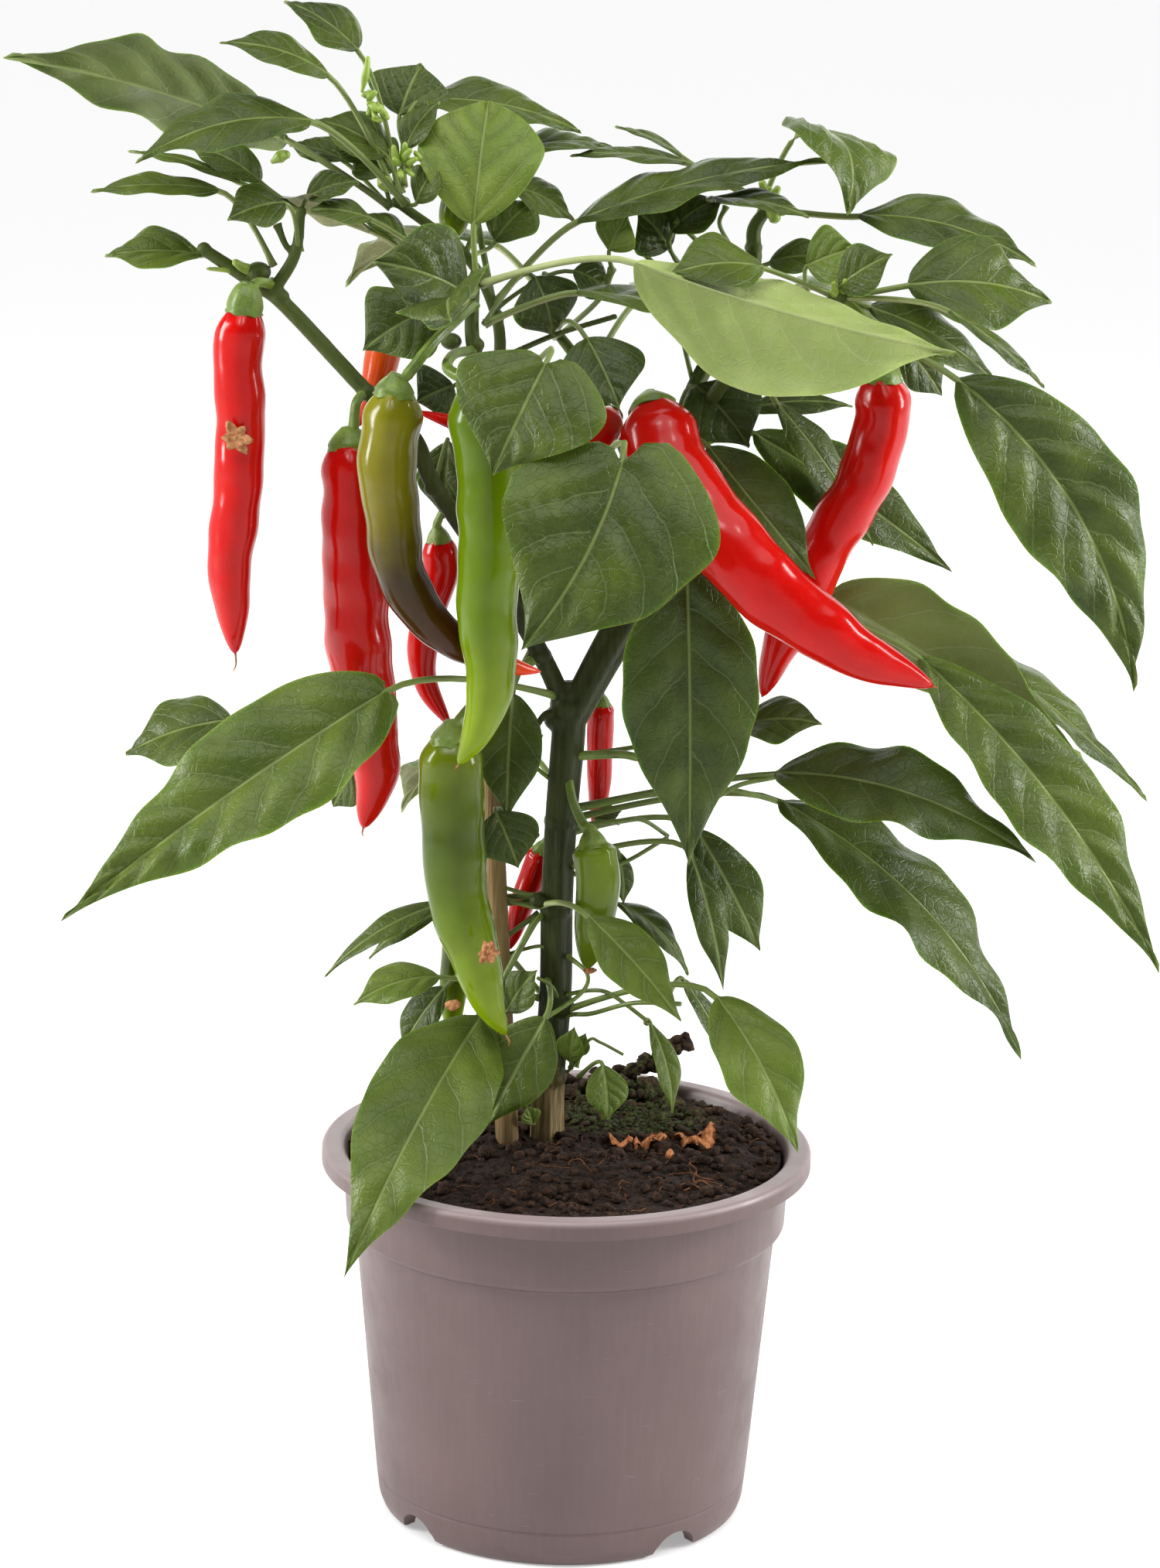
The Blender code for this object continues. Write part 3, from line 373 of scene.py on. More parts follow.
class Look:
    """A Principled material and the nodes that feed it."""

    def __init__(self, name, **sockets):
        self.material = bpy.data.materials.new(name)
        self.material.use_nodes = True
        self.tree = self.material.node_tree
        self.shader = self.tree.nodes["Principled BSDF"]
        for key, value in sockets.items():
            self.shader.inputs[key.replace("_", " ")].default_value = value
        self.place = self.node("ShaderNodeTexCoord").outputs["Object"]

    def node(self, kind, settings=None, **inputs):
        """A new node. Inputs are named by socket, or by number as i0, i1 and so on."""
        made = self.tree.nodes.new(kind)
        for key, value in (settings or {}).items():
            setattr(made, key, value)
        for key, value in inputs.items():
            self.feed(made.inputs[int(key[1:]) if key[0] == "i" and key[1:].isdigit() else key], value)
        return made

    def feed(self, socket, value):
        if isinstance(value, bpy.types.NodeSocket):
            self.tree.links.new(value, socket)
        else:
            socket.default_value = value

    def math(self, operation, a, b=0.0, c=0.0):
        return self.node("ShaderNodeMath", {"operation": operation}, i0=a, i1=b, i2=c).outputs[0]

    def times(self, a, b):
        return self.math("MULTIPLY", a, b)

    def plus(self, a, b):
        return self.math("ADD", a, b)

    def minus(self, a, b):
        return self.math("SUBTRACT", a, b)

    def ramp(self, value, low, high, to_low=0.0, to_high=1.0):
        """The value mapped smoothly from low..high to to_low..to_high."""
        made = self.node("ShaderNodeMapRange", {"interpolation_type": "SMOOTHSTEP"}, i0=value,
                         i1=low, i2=high, i3=to_low, i4=to_high)
        return made.outputs[0]

    def mix(self, factor, a, b):
        made = self.node("ShaderNodeMix", {"data_type": "RGBA"}, i0=factor, i6=a, i7=b)
        return made.outputs[2]

    def coated(self, colour, *coats):
        """The colour under coats of paint: (where each lies, how strongly, its colour)."""
        for place, strength, paint in coats:
            colour = self.mix(self.times(place, strength), colour, paint)
        return colour

    def noise(self, size, detail=3.0, stretch=(1, 1, 1), distortion=0.0):
        """Noise from 0 to 1 with features of about this size in millimetres."""
        place = self.node("ShaderNodeMapping", i0=self.place)
        place.inputs["Scale"].default_value = [s / (size * MM) for s in stretch]
        made = self.node("ShaderNodeTexNoise", Vector=place.outputs[0], Scale=1.0, Detail=detail,
                         Distortion=distortion)
        return made.outputs["Fac"]

    def cells(self, size):
        """The distance to the nearest edge between cells of about this size in millimetres."""
        made = self.node("ShaderNodeTexVoronoi", {"feature": "DISTANCE_TO_EDGE"}, Vector=self.place,
                         Scale=1 / (size * MM))
        return made.outputs[0]

    def attribute(self, name):
        return self.node("ShaderNodeAttribute", {"attribute_name": name})

    def bump(self, height, depth):
        """A bump of this depth in millimetres where the height goes from 0 to 1."""
        made = self.node("ShaderNodeBump", Height=height, Distance=depth * MM, Strength=1.0)
        return made.outputs["Normal"]

    def finish(self, colour=None, roughness=None, normal=None):
        for key, value in (("Base Color", colour), ("Roughness", roughness), ("Normal", normal)):
            if value is not None:
                self.feed(self.shader.inputs[key], value)
        return self.material


def rgb(red, green, blue):
    """A colour from 0-255 display values, in linear light."""
    linear = []
    for value in (red, green, blue):
        part = value / 255
        linear.append(part / 12.92 if part <= 0.04045 else ((part + 0.055) / 1.055) ** 2.4)
    return (*linear, 1)


def leaf_look():
    look = Look("leaf", Specular_IOR_Level=0.22, Subsurface_Weight=0.2,
                Subsurface_Radius=(0.5, 1.0, 0.15), Subsurface_Scale=0.0008)
    vein = look.node("ShaderNodeSeparateXYZ", i0=look.attribute("vein").outputs["Vector"])
    kind = look.node("ShaderNodeSeparateXYZ", i0=look.attribute("kind").outputs["Vector"])
    under = look.times(look.attribute("under_face").outputs["Fac"], look.minus(1.0, kind.outputs[2]))
    phase, distance, spacing = vein.outputs
    tint, shade = kind.outputs[0], kind.outputs[1]
    wobble = look.times(look.minus(look.noise(11, 2), 0.5), 0.34)
    part = look.math("FRACT", look.plus(phase, wobble))
    near = look.minus(0.5, look.math("ABSOLUTE", look.minus(part, 0.5)))
    side = look.times(near, spacing)
    lateral = look.ramp(side, 0.12, 0.6, 1, 0)
    # Nearness to a side vein, for painted shade in the grooves that run along the side veins.
    beside = look.ramp(side, 0.3, 3.2, 1, 0)
    middle = look.ramp(look.math("ABSOLUTE", distance), 0.3, 0.85, 1, 0)
    net = look.ramp(look.cells(3.4), 0.0, 0.1, 1, 0)
    fine_net = look.ramp(look.cells(1.3), 0.0, 0.14, 1, 0)
    lines = look.math("MAXIMUM", middle, look.times(lateral, 0.42))
    patch = look.ramp(look.noise(24, 4), 0.3, 0.7)
    blotch = look.ramp(look.noise(7, 3), 0.35, 0.75)
    speck = look.ramp(look.noise(1.1, 2), 0.3, 0.75)
    top = look.mix(patch, rgb(41, 55, 12), rgb(66, 82, 18))
    top = look.mix(tint, top, look.mix(patch, rgb(100, 124, 38), rgb(118, 138, 52)))
    # Painted shade in the grooves beside the side veins, then blotches, specks and pale veins.
    top = look.coated(top, (beside, 0.22, rgb(36, 50, 18)), (blotch, 0.2, rgb(88, 96, 40)),
                      (speck, 0.12, rgb(104, 118, 62)), (lines, 0.5, rgb(132, 148, 84)))
    low = look.mix(patch, rgb(100, 104, 58), rgb(120, 124, 74))
    low = look.mix(tint, low, look.mix(patch, rgb(138, 156, 84), rgb(156, 172, 100)))
    low = look.coated(low, (blotch, 0.18, rgb(140, 140, 106)), (net, 0.22, rgb(150, 160, 108)),
                      (lines, 0.55, rgb(168, 176, 126)))
    colour = look.mix(under, top, low)
    # Painted shade: the whole leaf darkened towards a deep green by its shade trait.
    colour = look.coated(colour, (shade, 0.8, rgb(28, 38, 16)))
    gloss = look.ramp(look.noise(9, 3), 0.2, 0.8, 0.28, 0.44)
    roughness = look.plus(gloss, look.times(under, 0.16))
    sign = look.minus(look.times(under, 2.0), 1.0)
    relief = look.times(look.math("MAXIMUM", lines, look.times(net, 0.3)), sign)
    relief = look.minus(relief, look.times(fine_net, 0.1))
    relief = look.plus(relief, look.times(look.noise(5, 3), 0.9))
    return look.finish(colour, roughness, look.bump(relief, 0.3))


def stem_look():
    look = Look("stem", Specular_IOR_Level=0.15)
    height = look.node("ShaderNodeSeparateXYZ", i0=look.place).outputs[2]
    streak = look.ramp(look.noise(1.3, 4, (1, 1, 0.07)), 0.3, 0.72)
    patch = look.ramp(look.noise(14, 3), 0.3, 0.7)
    green = look.mix(patch, rgb(29, 36, 11), rgb(43, 50, 17))
    green = look.coated(green, (streak, 0.4, rgb(66, 70, 38)))
    young = look.ramp(height, 0.33, 0.42)
    green = look.coated(green, (young, 0.4, rgb(92, 110, 50)))
    edge = look.plus(height, look.times(look.noise(5, 4, (1, 1, 0.3)), 0.03))
    cork = look.ramp(edge, 0.158, 0.178, 1, 0)
    bark = look.mix(streak, rgb(92, 78, 48), rgb(150, 132, 96))
    colour = look.mix(cork, green, bark)
    relief = look.plus(look.times(streak, look.plus(cork, 0.3)), look.times(look.noise(0.7, 3), 0.2))
    roughness = look.ramp(cork, 0, 1, 0.46, 0.85)
    return look.finish(colour, roughness, look.bump(relief, 0.3))


def stalk_look(name, low, high):
    """Green tissue of petioles, stalks, caps and buds."""
    look = Look(name, Specular_IOR_Level=0.45)
    streak = look.ramp(look.noise(1.0, 3), 0.3, 0.7)
    patch = look.ramp(look.noise(6, 3), 0.3, 0.7)
    colour = look.mix(patch, low, high)
    colour = look.coated(colour, (streak, 0.2, rgb(140, 150, 76)))
    relief = look.plus(look.noise(0.6, 3), look.noise(2.2, 2))
    return look.finish(colour, look.ramp(patch, 0, 1, 0.34, 0.48), look.bump(relief, 0.12))


def pepper_look(name, stops):
    """Glossy skin. Stops are (place along the fruit, colour)."""
    look = Look(name, Specular_IOR_Level=0.24)
    grow = look.node("ShaderNodeSeparateXYZ", i0=look.attribute("grow").outputs["Vector"])
    place = look.plus(grow.outputs[0], look.times(look.minus(look.noise(9, 3), 0.5), 0.14))
    ramp = look.node("ShaderNodeValToRGB", i0=place)
    marks = ramp.color_ramp.elements
    while len(marks) < len(stops):
        marks.new(0.5)
    for mark, (at, colour) in zip(marks, stops):
        mark.position = at
        mark.color = colour
    patch = look.ramp(look.noise(7, 4), 0.3, 0.75)
    darker = look.node("ShaderNodeHueSaturation", Value=0.72, Saturation=1.03, Color=ramp.outputs[0])
    colour = look.mix(look.times(patch, 0.35), ramp.outputs[0], darker.outputs[0])
    fine = look.ramp(look.noise(0.9, 3), 0.3, 0.8)
    paler = look.node("ShaderNodeHueSaturation", Value=1.5, Saturation=0.95, Color=ramp.outputs[0])
    colour = look.mix(look.times(fine, 0.08), colour, paler.outputs[0])
    relief = look.plus(look.times(look.noise(2.6, 2), 0.14), look.noise(9, 2))
    roughness = look.ramp(look.noise(5, 3), 0.3, 0.8, 0.13, 0.23)
    return look.finish(colour, roughness, look.bump(relief, 0.12))


def pot_look():
    look = Look("pot", Specular_IOR_Level=0.5)
    place = look.node("ShaderNodeSeparateXYZ", i0=look.place)
    cloud = look.ramp(look.noise(45, 3), 0.3, 0.7)
    colour = look.mix(cloud, rgb(86, 68, 66), rgb(93, 74, 72))
    flow = look.ramp(look.noise(2.0, 3, (1, 1, 0.05)), 0.35, 0.75)
    colour = look.coated(colour, (flow, 0.1, rgb(112, 96, 96)))
    grime = look.ramp(look.noise(3.5, 5), 0.62, 0.8)
    low = look.ramp(place.outputs[2], 0.0, 0.02, 1, 0)
    high = look.ramp(place.outputs[2], 0.122, 0.131)
    colour = look.mix(look.times(grime, look.plus(low, high)), colour, rgb(76, 62, 56))
    # Dust on the rim's top, and painted light: the rim's upward face painted paler as if lit from above.
    rim_dust_and_light = look.ramp(place.outputs[2], 0.1295, 0.1315, 0, 0.55)
    colour = look.mix(rim_dust_and_light, colour, rgb(150, 136, 135))
    scuff = look.ramp(look.noise(1.6, 2, (0.12, 0.12, 1), 1.5), 0.7, 0.78)
    colour = look.coated(colour, (scuff, 0.18, rgb(146, 132, 131)))
    relief = look.plus(look.noise(0.5, 2), look.times(flow, 0.3))
    roughness = look.ramp(look.noise(12, 4), 0.25, 0.8, 0.36, 0.5)
    return look.finish(colour, roughness, look.bump(relief, 0.06))


def soil_look(name, dark, light, moss):
    look = Look(name, Specular_IOR_Level=0.25)
    grain = look.noise(1.6, 6)
    colour = look.mix(look.ramp(grain, 0.35, 0.68), dark, light)
    colour = look.mix(look.ramp(look.noise(0.7, 3), 0.62, 0.74, 0, 0.5), colour, rgb(98, 72, 50))
    if moss:
        place = look.node("ShaderNodeSeparateXYZ", i0=look.place)
        beside = look.minus(place.outputs[0], 0.022)
        behind = look.minus(place.outputs[1], 0.036)
        squares = look.plus(look.math("POWER", beside, 2.0), look.math("POWER", behind, 2.0))
        reach = look.math("SQRT", squares)
        spread = look.plus(reach, look.times(look.noise(12, 4), 0.03))
        green = look.times(look.ramp(spread, 0.03, 0.05, 1, 0), look.ramp(look.noise(2.2, 4), 0.42, 0.6))
        colour = look.mix(green, colour, look.mix(look.ramp(grain, 0.3, 0.7), rgb(34, 42, 14),
                                                  rgb(76, 88, 34)))
    relief = look.plus(grain, look.noise(0.6, 4))
    return look.finish(colour, 0.9, look.bump(relief, 0.9))


def wood_look():
    look = Look("stake", Specular_IOR_Level=0.3)
    grain = look.ramp(look.noise(0.55, 5, (1, 1, 0.04)), 0.3, 0.72)
    patch = look.ramp(look.noise(16, 3, (1, 1, 0.3)), 0.3, 0.7)
    colour = look.mix(grain, rgb(120, 96, 56), rgb(152, 128, 84))
    colour = look.coated(colour, (patch, 0.35, rgb(130, 104, 64)))
    height = look.node("ShaderNodeSeparateXYZ", i0=look.place).outputs[2]
    damp = look.ramp(height, 0.128, 0.15, 0.7, 0)
    colour = look.mix(damp, colour, rgb(86, 66, 42))
    return look.finish(colour, look.ramp(grain, 0, 1, 0.6, 0.75), look.bump(grain, 0.12))


def dry_look(name, low, high):
    look = Look(name, Specular_IOR_Level=0.2)
    patch = look.ramp(look.noise(1.4, 4), 0.3, 0.7)
    colour = look.mix(patch, low, high)
    return look.finish(colour, 0.8, look.bump(look.noise(0.7, 4), 0.3))


LOOKS = {
    "leaf": leaf_look(),
    "stem": stem_look(),
    "stalk": stalk_look("stalk", rgb(72, 92, 32), rgb(98, 118, 48)),
    "cap": stalk_look("cap", rgb(66, 90, 22), rgb(98, 122, 38)),
    "bud": stalk_look("bud", rgb(112, 140, 40), rgb(142, 166, 66)),
    "pot": pot_look(),
    "soil": soil_look("soil", rgb(21, 13, 8), rgb(52, 34, 24), True),
    "crumb": soil_look("crumb", rgb(26, 16, 10), rgb(66, 44, 30), True),
    "moss": soil_look("moss", rgb(30, 34, 14), rgb(66, 74, 32), False),
    "stake": wood_look(),
    "dry": dry_look("dried_petal", rgb(122, 76, 44), rgb(176, 126, 84)),
    "fibre": dry_look("root_fibre", rgb(80, 48, 28), rgb(124, 80, 50)),
    "litter": dry_look("dry_scrap", rgb(140, 80, 42), rgb(190, 128, 84)),
    "red": pepper_look("pepper_red", ((0, rgb(174, 9, 4)), (1, rgb(178, 9, 4)))),
    "orange": pepper_look("pepper_orange", ((0, rgb(128, 56, 8)), (0.4, rgb(192, 74, 6)),
                                            (1, rgb(170, 44, 8)))),
    "brown": pepper_look("pepper_brown", ((0, rgb(112, 110, 20)), (0.25, rgb(104, 98, 18)),
        (0.5, rgb(52, 36, 6)), (0.78, rgb(66, 30, 6)), (0.87, rgb(190, 60, 10)),
        (1, rgb(220, 54, 14)))),
    "green": pepper_look("pepper_green", ((0, rgb(75, 98, 3)), (0.6, rgb(86, 110, 4)),
                                          (1, rgb(122, 144, 10)))),
    "green_deep": pepper_look("pepper_green_deep", ((0, rgb(90, 104, 12)), (0.3, rgb(58, 74, 5)),
        (0.55, rgb(78, 98, 3)), (1, rgb(124, 148, 8)))),
    "green_pale": pepper_look("pepper_green_pale", ((0, rgb(96, 116, 26)), (1, rgb(82, 98, 20)))),
}


# ---------------------------------------------------------------- leaves

# Places across a blade, from its left margin (-1) to its right (1), closer together at the midrib.
ACROSS = np.array([-1, -0.9, -0.76, -0.6, -0.44, -0.29, -0.16, -0.065, 0,
                   0.065, 0.16, 0.29, 0.44, 0.6, 0.76, 0.9, 1])
BLADE_ROWS = 44
PETIOLE_ROWS = 12
PETIOLE = 1.1
BLADE = 0.42

# What differs from leaf to leaf. young: how light green it is. shade: how much painted shade
# darkens it. wave: how wavy its margins are. quilt: how much it bulges between its veins. lobe:
# how far the blade's base reaches back beside the petiole, as a part of its length. skew: how much
# broader its right side starts. blunt: how rounded its tip is. alike: how much its underside is
# coloured as its top.
LEAF_TRAITS = {
    "leaf_front_heart": {"lobe": 0.14, "wave": 0.5, "skew": 0.35},
    "leaf_front_upper": {"lobe": 0.13, "wave": 0.8, "skew": 0.25},
    "leaf_top_round": {"young": 0.7, "wave": 0.6, "blunt": 0.75, "quilt": 0.9},
    "leaf_middle_pale": {"wave": 0.6, "young": 0.75},
    "leaf_right_1": {"wave": 0.6, "young": 0.35, "alike": 0.55, "quilt": 1.6},
    "leaf_front_long": {"shade": 0.25, "wave": 0.5, "lobe": 0.04},
    "leaf_left_large": {"wave": 1.3, "lobe": 0.06, "young": 0.25, "quilt": 1.8},
    "leaf_right_3": {"young": 0.12, "quilt": 1.8},
    "leaf_right_crown_3": {"wave": 1.2, "quilt": 2.0},
    "leaf_right_top_2": {"quilt": 1.5},
    "leaf_upper_left_1": {"wave": 1.2, "young": 0.08, "shade": 0.2, "alike": 0.8, "quilt": 1.8},
    "leaf_upper_left_2": {"young": 0.05, "shade": 0.15},
    "leaf_low_1": {"young": 0.3, "wave": 1.2},
    "leaf_low_4": {"young": 0.45, "wave": 1.4},
    "leaf_low_5": {"young": 0.4},
    "leaf_low_2": {"young": 0.1},
    "leaf_low_7": {"shade": 0.1},
    "leaf_middle_dark": {"shade": 0.2},
    "leaf_centre_1": {"shade": 0.3},
    "leaf_centre_2": {"shade": 0.2},
    "leaf_right_top_1": {"wave": 1.3, "young": 0.15},
    "leaf_right_4": {"young": 0.1, "wave": 1.6},
    "leaf_right_5": {"shade": 0.4, "wave": 1.6},
    "leaf_right_6": {"shade": 0.35, "wave": 1.3},
    "R8": {"young": 0.9}, "R13": {"young": 0.7}, "B14": {"young": 0.4}, "B15": {"young": 0.3},
    "B23": {"young": 0.9}, "B24": {"young": 0.9}, "B25": {"young": 1.0}, "B4": {"young": 0.5},
    "L18": {"young": 0.4}, "L7": {"shade": 0.3}, "L10b": {"shade": 0.4}, "L22": {"shade": 0.2},
    "M1": {"shade": 0.4}, "M2": {"shade": 0.4}, "C6": {"shade": 0.5}, "L23": {"shade": 0.4},
    "L24": {"shade": 0.4}, "M3": {"young": 0.3}, "M4": {"young": 0.3},
}


def blade_width(part, widest, blunt):
    """Half the blade's width, as a part of the greatest, from its base (0) to its tip (1)."""
    rise = np.sin(np.pi / 2 * np.minimum(part / widest, 1)) ** 0.75
    toward = np.clip((part - widest) / (1 - widest), 0, 1)
    drawn = 1 - 0.4 * (1 - blunt) * np.clip((part - 0.62) / 0.38, 0, 1) ** 1.3
    fall = np.cos(np.pi / 2 * toward) ** (1.15 - 0.5 * blunt) * drawn
    return np.where(part < widest, rise, fall)


def leaf_frame(root, base, tip, turn, bow, sway):
    """The midrib's curve, the petiole's, and the way the top side faces."""
    root, base, tip = (np.array(p, float) for p in (root, base, tip))
    length = np.linalg.norm(tip - base)
    axis = (tip - base) / length
    front = unit(np.array((0, -1, 0)) + axis * axis[1])
    top = np.cross(axis, front)
    if top[2] < 0:
        top = -top
    face = front * cos(radians(turn)) + top * sin(radians(turn))
    side = np.cross(face, axis)
    arch = face * (4 * bow * length) + side * (4 * sway * length)
    lead = unit((tip - base) + arch) * np.linalg.norm(base - root) * 0.25
    t = np.linspace(0, 1, 41)[:, None]
    petiole = (1 - t) ** 2 * root + 2 * t * (1 - t) * (base - lead) + t * t * base
    return length, petiole, lambda part: base + (tip - base) * part + arch * part * (1 - part), face


def parallel_cut(faces, count, first_low):
    """The quads cut into triangles, along the same diagonals on a sheet's top and on its underside."""
    cut = []
    for polygon in faces:
        if len(polygon) == 3:
            cut.append(polygon)
            continue
        a, b, c, d = polygon
        low = a % count >= first_low
        cut += [[a, b, d], [b, c, d]] if low else [[a, b, c], [a, c, d]]
    return cut


def blade_shape(draw, traits, length, width, place, w, half):
    """How the blade's sheet lies, for places along it and across it (w, from -1 to 1).

    Returns the height over the midrib, how uneven the margin is, how far the base reaches back, the
    place between side veins as a running count, and the number of side veins."""
    small = min(1.0, length / 60)
    reach = np.abs(w)
    phases = [draw.uniform(0, 2 * pi) for _ in range(8)]

    def wave(count, k):
        return np.sin(2 * pi * count * place + np.where(w < 0, phases[k], phases[k + 1]))

    uneven = 1 + 0.02 * wave(0.6 + length / 24, 0) * reach**3 * small
    veins = max(4, round(length / 17))
    ahead = (0.7 * reach * half + 0.2 * width * reach**2) / length
    phase = (place**0.9 - ahead) * veins + 0.5 * (w < 0) + 0.18 * np.sin(7 * place + phases[5])
    hump = np.sin(pi * np.minimum(reach / 0.94, 1)) ** 0.8
    quilt = 0.032 * traits.get("quilt", 1.0) * width * (0.5 - 0.5 * np.cos(2 * pi * phase)) ** 0.8 * hump
    ruffle = traits.get("wave", 1.0) * (0.015 + 0.022 * small) * width * reach**2.3 * (
        wave(draw.uniform(0.8, 1.1) + length / 62, 2) + 0.55 * wave(draw.uniform(1.5, 2.0) + length / 34, 4))
    ruffle = ruffle * np.sin(pi * np.clip(place, 0.04, 0.97)) ** 0.5
    droop = -0.13 * half * reach**2.2
    skew = margin_skew(traits, place, w)
    lobe = traits.get("lobe", 0.025) * length * np.exp(-place / 0.16) * reach**1.6 * (1 + 2.5 * skew)
    return droop + quilt + ruffle, uneven, lobe, phase, veins


def margin_skew(traits, place, w):
    """How much broader the blade's right side is towards its base."""
    return traits.get("skew", 0.0) * np.exp(-(place / 0.28) ** 2) * (w > 0)


def underside(faces, count, rows):
    """For each face of a leaf, 1 on its underside and 0 on its top."""
    flags = []
    for polygon in faces:
        column = [v % count for v in polygon if v < rows * count]
        wraps = min(column) == 0 and max(column) > 1 and count - 1 in column
        flags.append(float(max(column) >= len(ACROSS) or wraps))
    return np.array(flags)


def make_leaf(name, root, base, tip, width, turn, bow, sway, fold, widest):
    traits = LEAF_TRAITS.get(name, {})
    draw = Random(name)
    length, petiole, midrib, face = leaf_frame(root, base, tip, turn, bow, sway)
    stalk = resample(petiole, PETIOLE_ROWS)[:-1]
    part = (np.arange(BLADE_ROWS) / BLADE_ROWS) ** 1.06
    path = np.vstack([stalk, midrib(part[:, None])])
    ways = along(np.vstack([path, [tip]]))[:-1]
    up = unit(face - ways * (ways @ face)[:, None])
    cross = np.cross(up, ways)
    rows = len(path)
    place = np.concatenate([np.zeros(len(stalk)), part])[:, None]
    on_blade = np.concatenate([np.zeros(len(stalk)), np.ones(len(part))])[:, None]
    w = np.concatenate([ACROSS, ACROSS[-2:0:-1]])[None, :]
    reach = np.abs(w)
    half = blade_width(place, widest, traits.get("blunt", 0.0)) * width / 2
    half = half * (1 + margin_skew(traits, place, w))
    level = np.concatenate([np.ones(len(ACROSS)), -np.ones(len(ACROSS) - 2)])[None, :] * (reach < 1)

    # The blade: a thin sheet with a midrib that stands out below.
    sheet, uneven, lobe, phase, veins = blade_shape(draw, traits, length, width, place, w, half)
    stout = 0.55 + 0.45 * min(1.0, length / 60)
    thick = BLADE / 2 * np.sqrt(np.maximum(1 - reach**4, 0)) * level
    rib = PETIOLE * (1 - 0.72 * place) * stout
    ridge = np.exp(-((reach * half) / (0.9 * rib + 0.25)) ** 2) * rib
    rise = np.where(level < 0, -0.95 * ridge, 0.12 * ridge)
    angle = radians(fold)
    lift = half * reach * sin(angle) + sheet + thick + rise
    blade = (path[:, None, :] + cross[:, None, :] * (half * w * cos(angle) * uneven)[:, :, None]
             + up[:, None, :] * lift[:, :, None] - ways[:, None, :] * lobe[:, :, None])

    # The petiole: round, thicker at its foot, and blended into the blade.
    thickness = PETIOLE * stout * (1 + 0.55 * np.exp(-np.arange(rows) / 1.2))[:, None]
    bulge = np.sqrt(np.maximum(1 - w**2, 0)) * np.where(level < 0, -1, 1)
    stem = (path[:, None, :] + cross[:, None, :] * (thickness * w)[:, :, None]
            + up[:, None, :] * (thickness * bulge)[:, :, None])
    share = (1 - np.clip(place / 0.05, 0, 1)) ** 2 * on_blade + (1 - on_blade)
    rings = stem * share[:, :, None] + blade * (1 - share)[:, :, None]
    points, faces = lofted(rings, path[0], np.array(tip, float))
    count = rings.shape[1]
    faces = outward(points, parallel_cut(faces, count, len(ACROSS) - 1))

    # What the leaf's material reads: the place among the veins, and the leaf's kind: how young it is,
    # how much painted shade darkens it and how alike its sides are.
    spacing = length / veins
    ones = np.ones((rows, count))
    vein = np.stack([np.where(on_blade > 0, phase, 0.5) * ones,
                     reach * half * np.where(w < 0, -1.0, 1.0) * ones, spacing * ones], axis=-1)
    vein = np.vstack([vein.reshape(-1, 3), [0.5, 0, spacing], [0.5, 0, spacing]])
    young = min(1, max(0, traits.get("young", 0.0) + draw.uniform(-0.04, 0.1)))
    kind = np.tile([young, traits.get("shade", draw.uniform(0, 0.12)), traits.get("alike", 0.0)],
                   (len(points), 1))
    obj = mesh_object(name, points, faces, LOOKS["leaf"], sharp=100, vein=vein, kind=kind,
                      under_face=underside(faces, count, rows))
    nodes = [name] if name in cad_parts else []
    add_piece(obj, "leaf", *nodes)


# ---------------------------------------------------------------- stems


def tube(path, radii, sides, ridges=0.0, ridge_count=5, turn=0.0):
    """Points and faces of a closed tube with shallow ridges along it."""
    firsts, seconds = frames(path)
    angles = np.linspace(0, 2 * pi, sides, endpoint=False)
    lumps = 1 + ridges * np.cos(ridge_count * angles + turn)
    radii = np.asarray(radii, float)[:, None] * lumps[None, :]
    rings = (path[:, None, :] + firsts[:, None, :] * (radii * np.cos(angles))[:, :, None]
             + seconds[:, None, :] * (radii * np.sin(angles))[:, :, None])
    return lofted(rings, path[0], path[-1])


def ball(centre, radius, stretch=(1, 1, 1), rings=8, sides=12):
    heights = -np.cos(np.linspace(0, pi, rings + 2))[1:-1]
    path = np.array([(0, 0, h) for h in heights])
    points, faces = tube(path, np.sqrt(1 - heights**2), sides)
    points[-2:] = (0, 0, -1), (0, 0, 1)
    return np.array(centre) + points * radius * np.array(stretch), faces


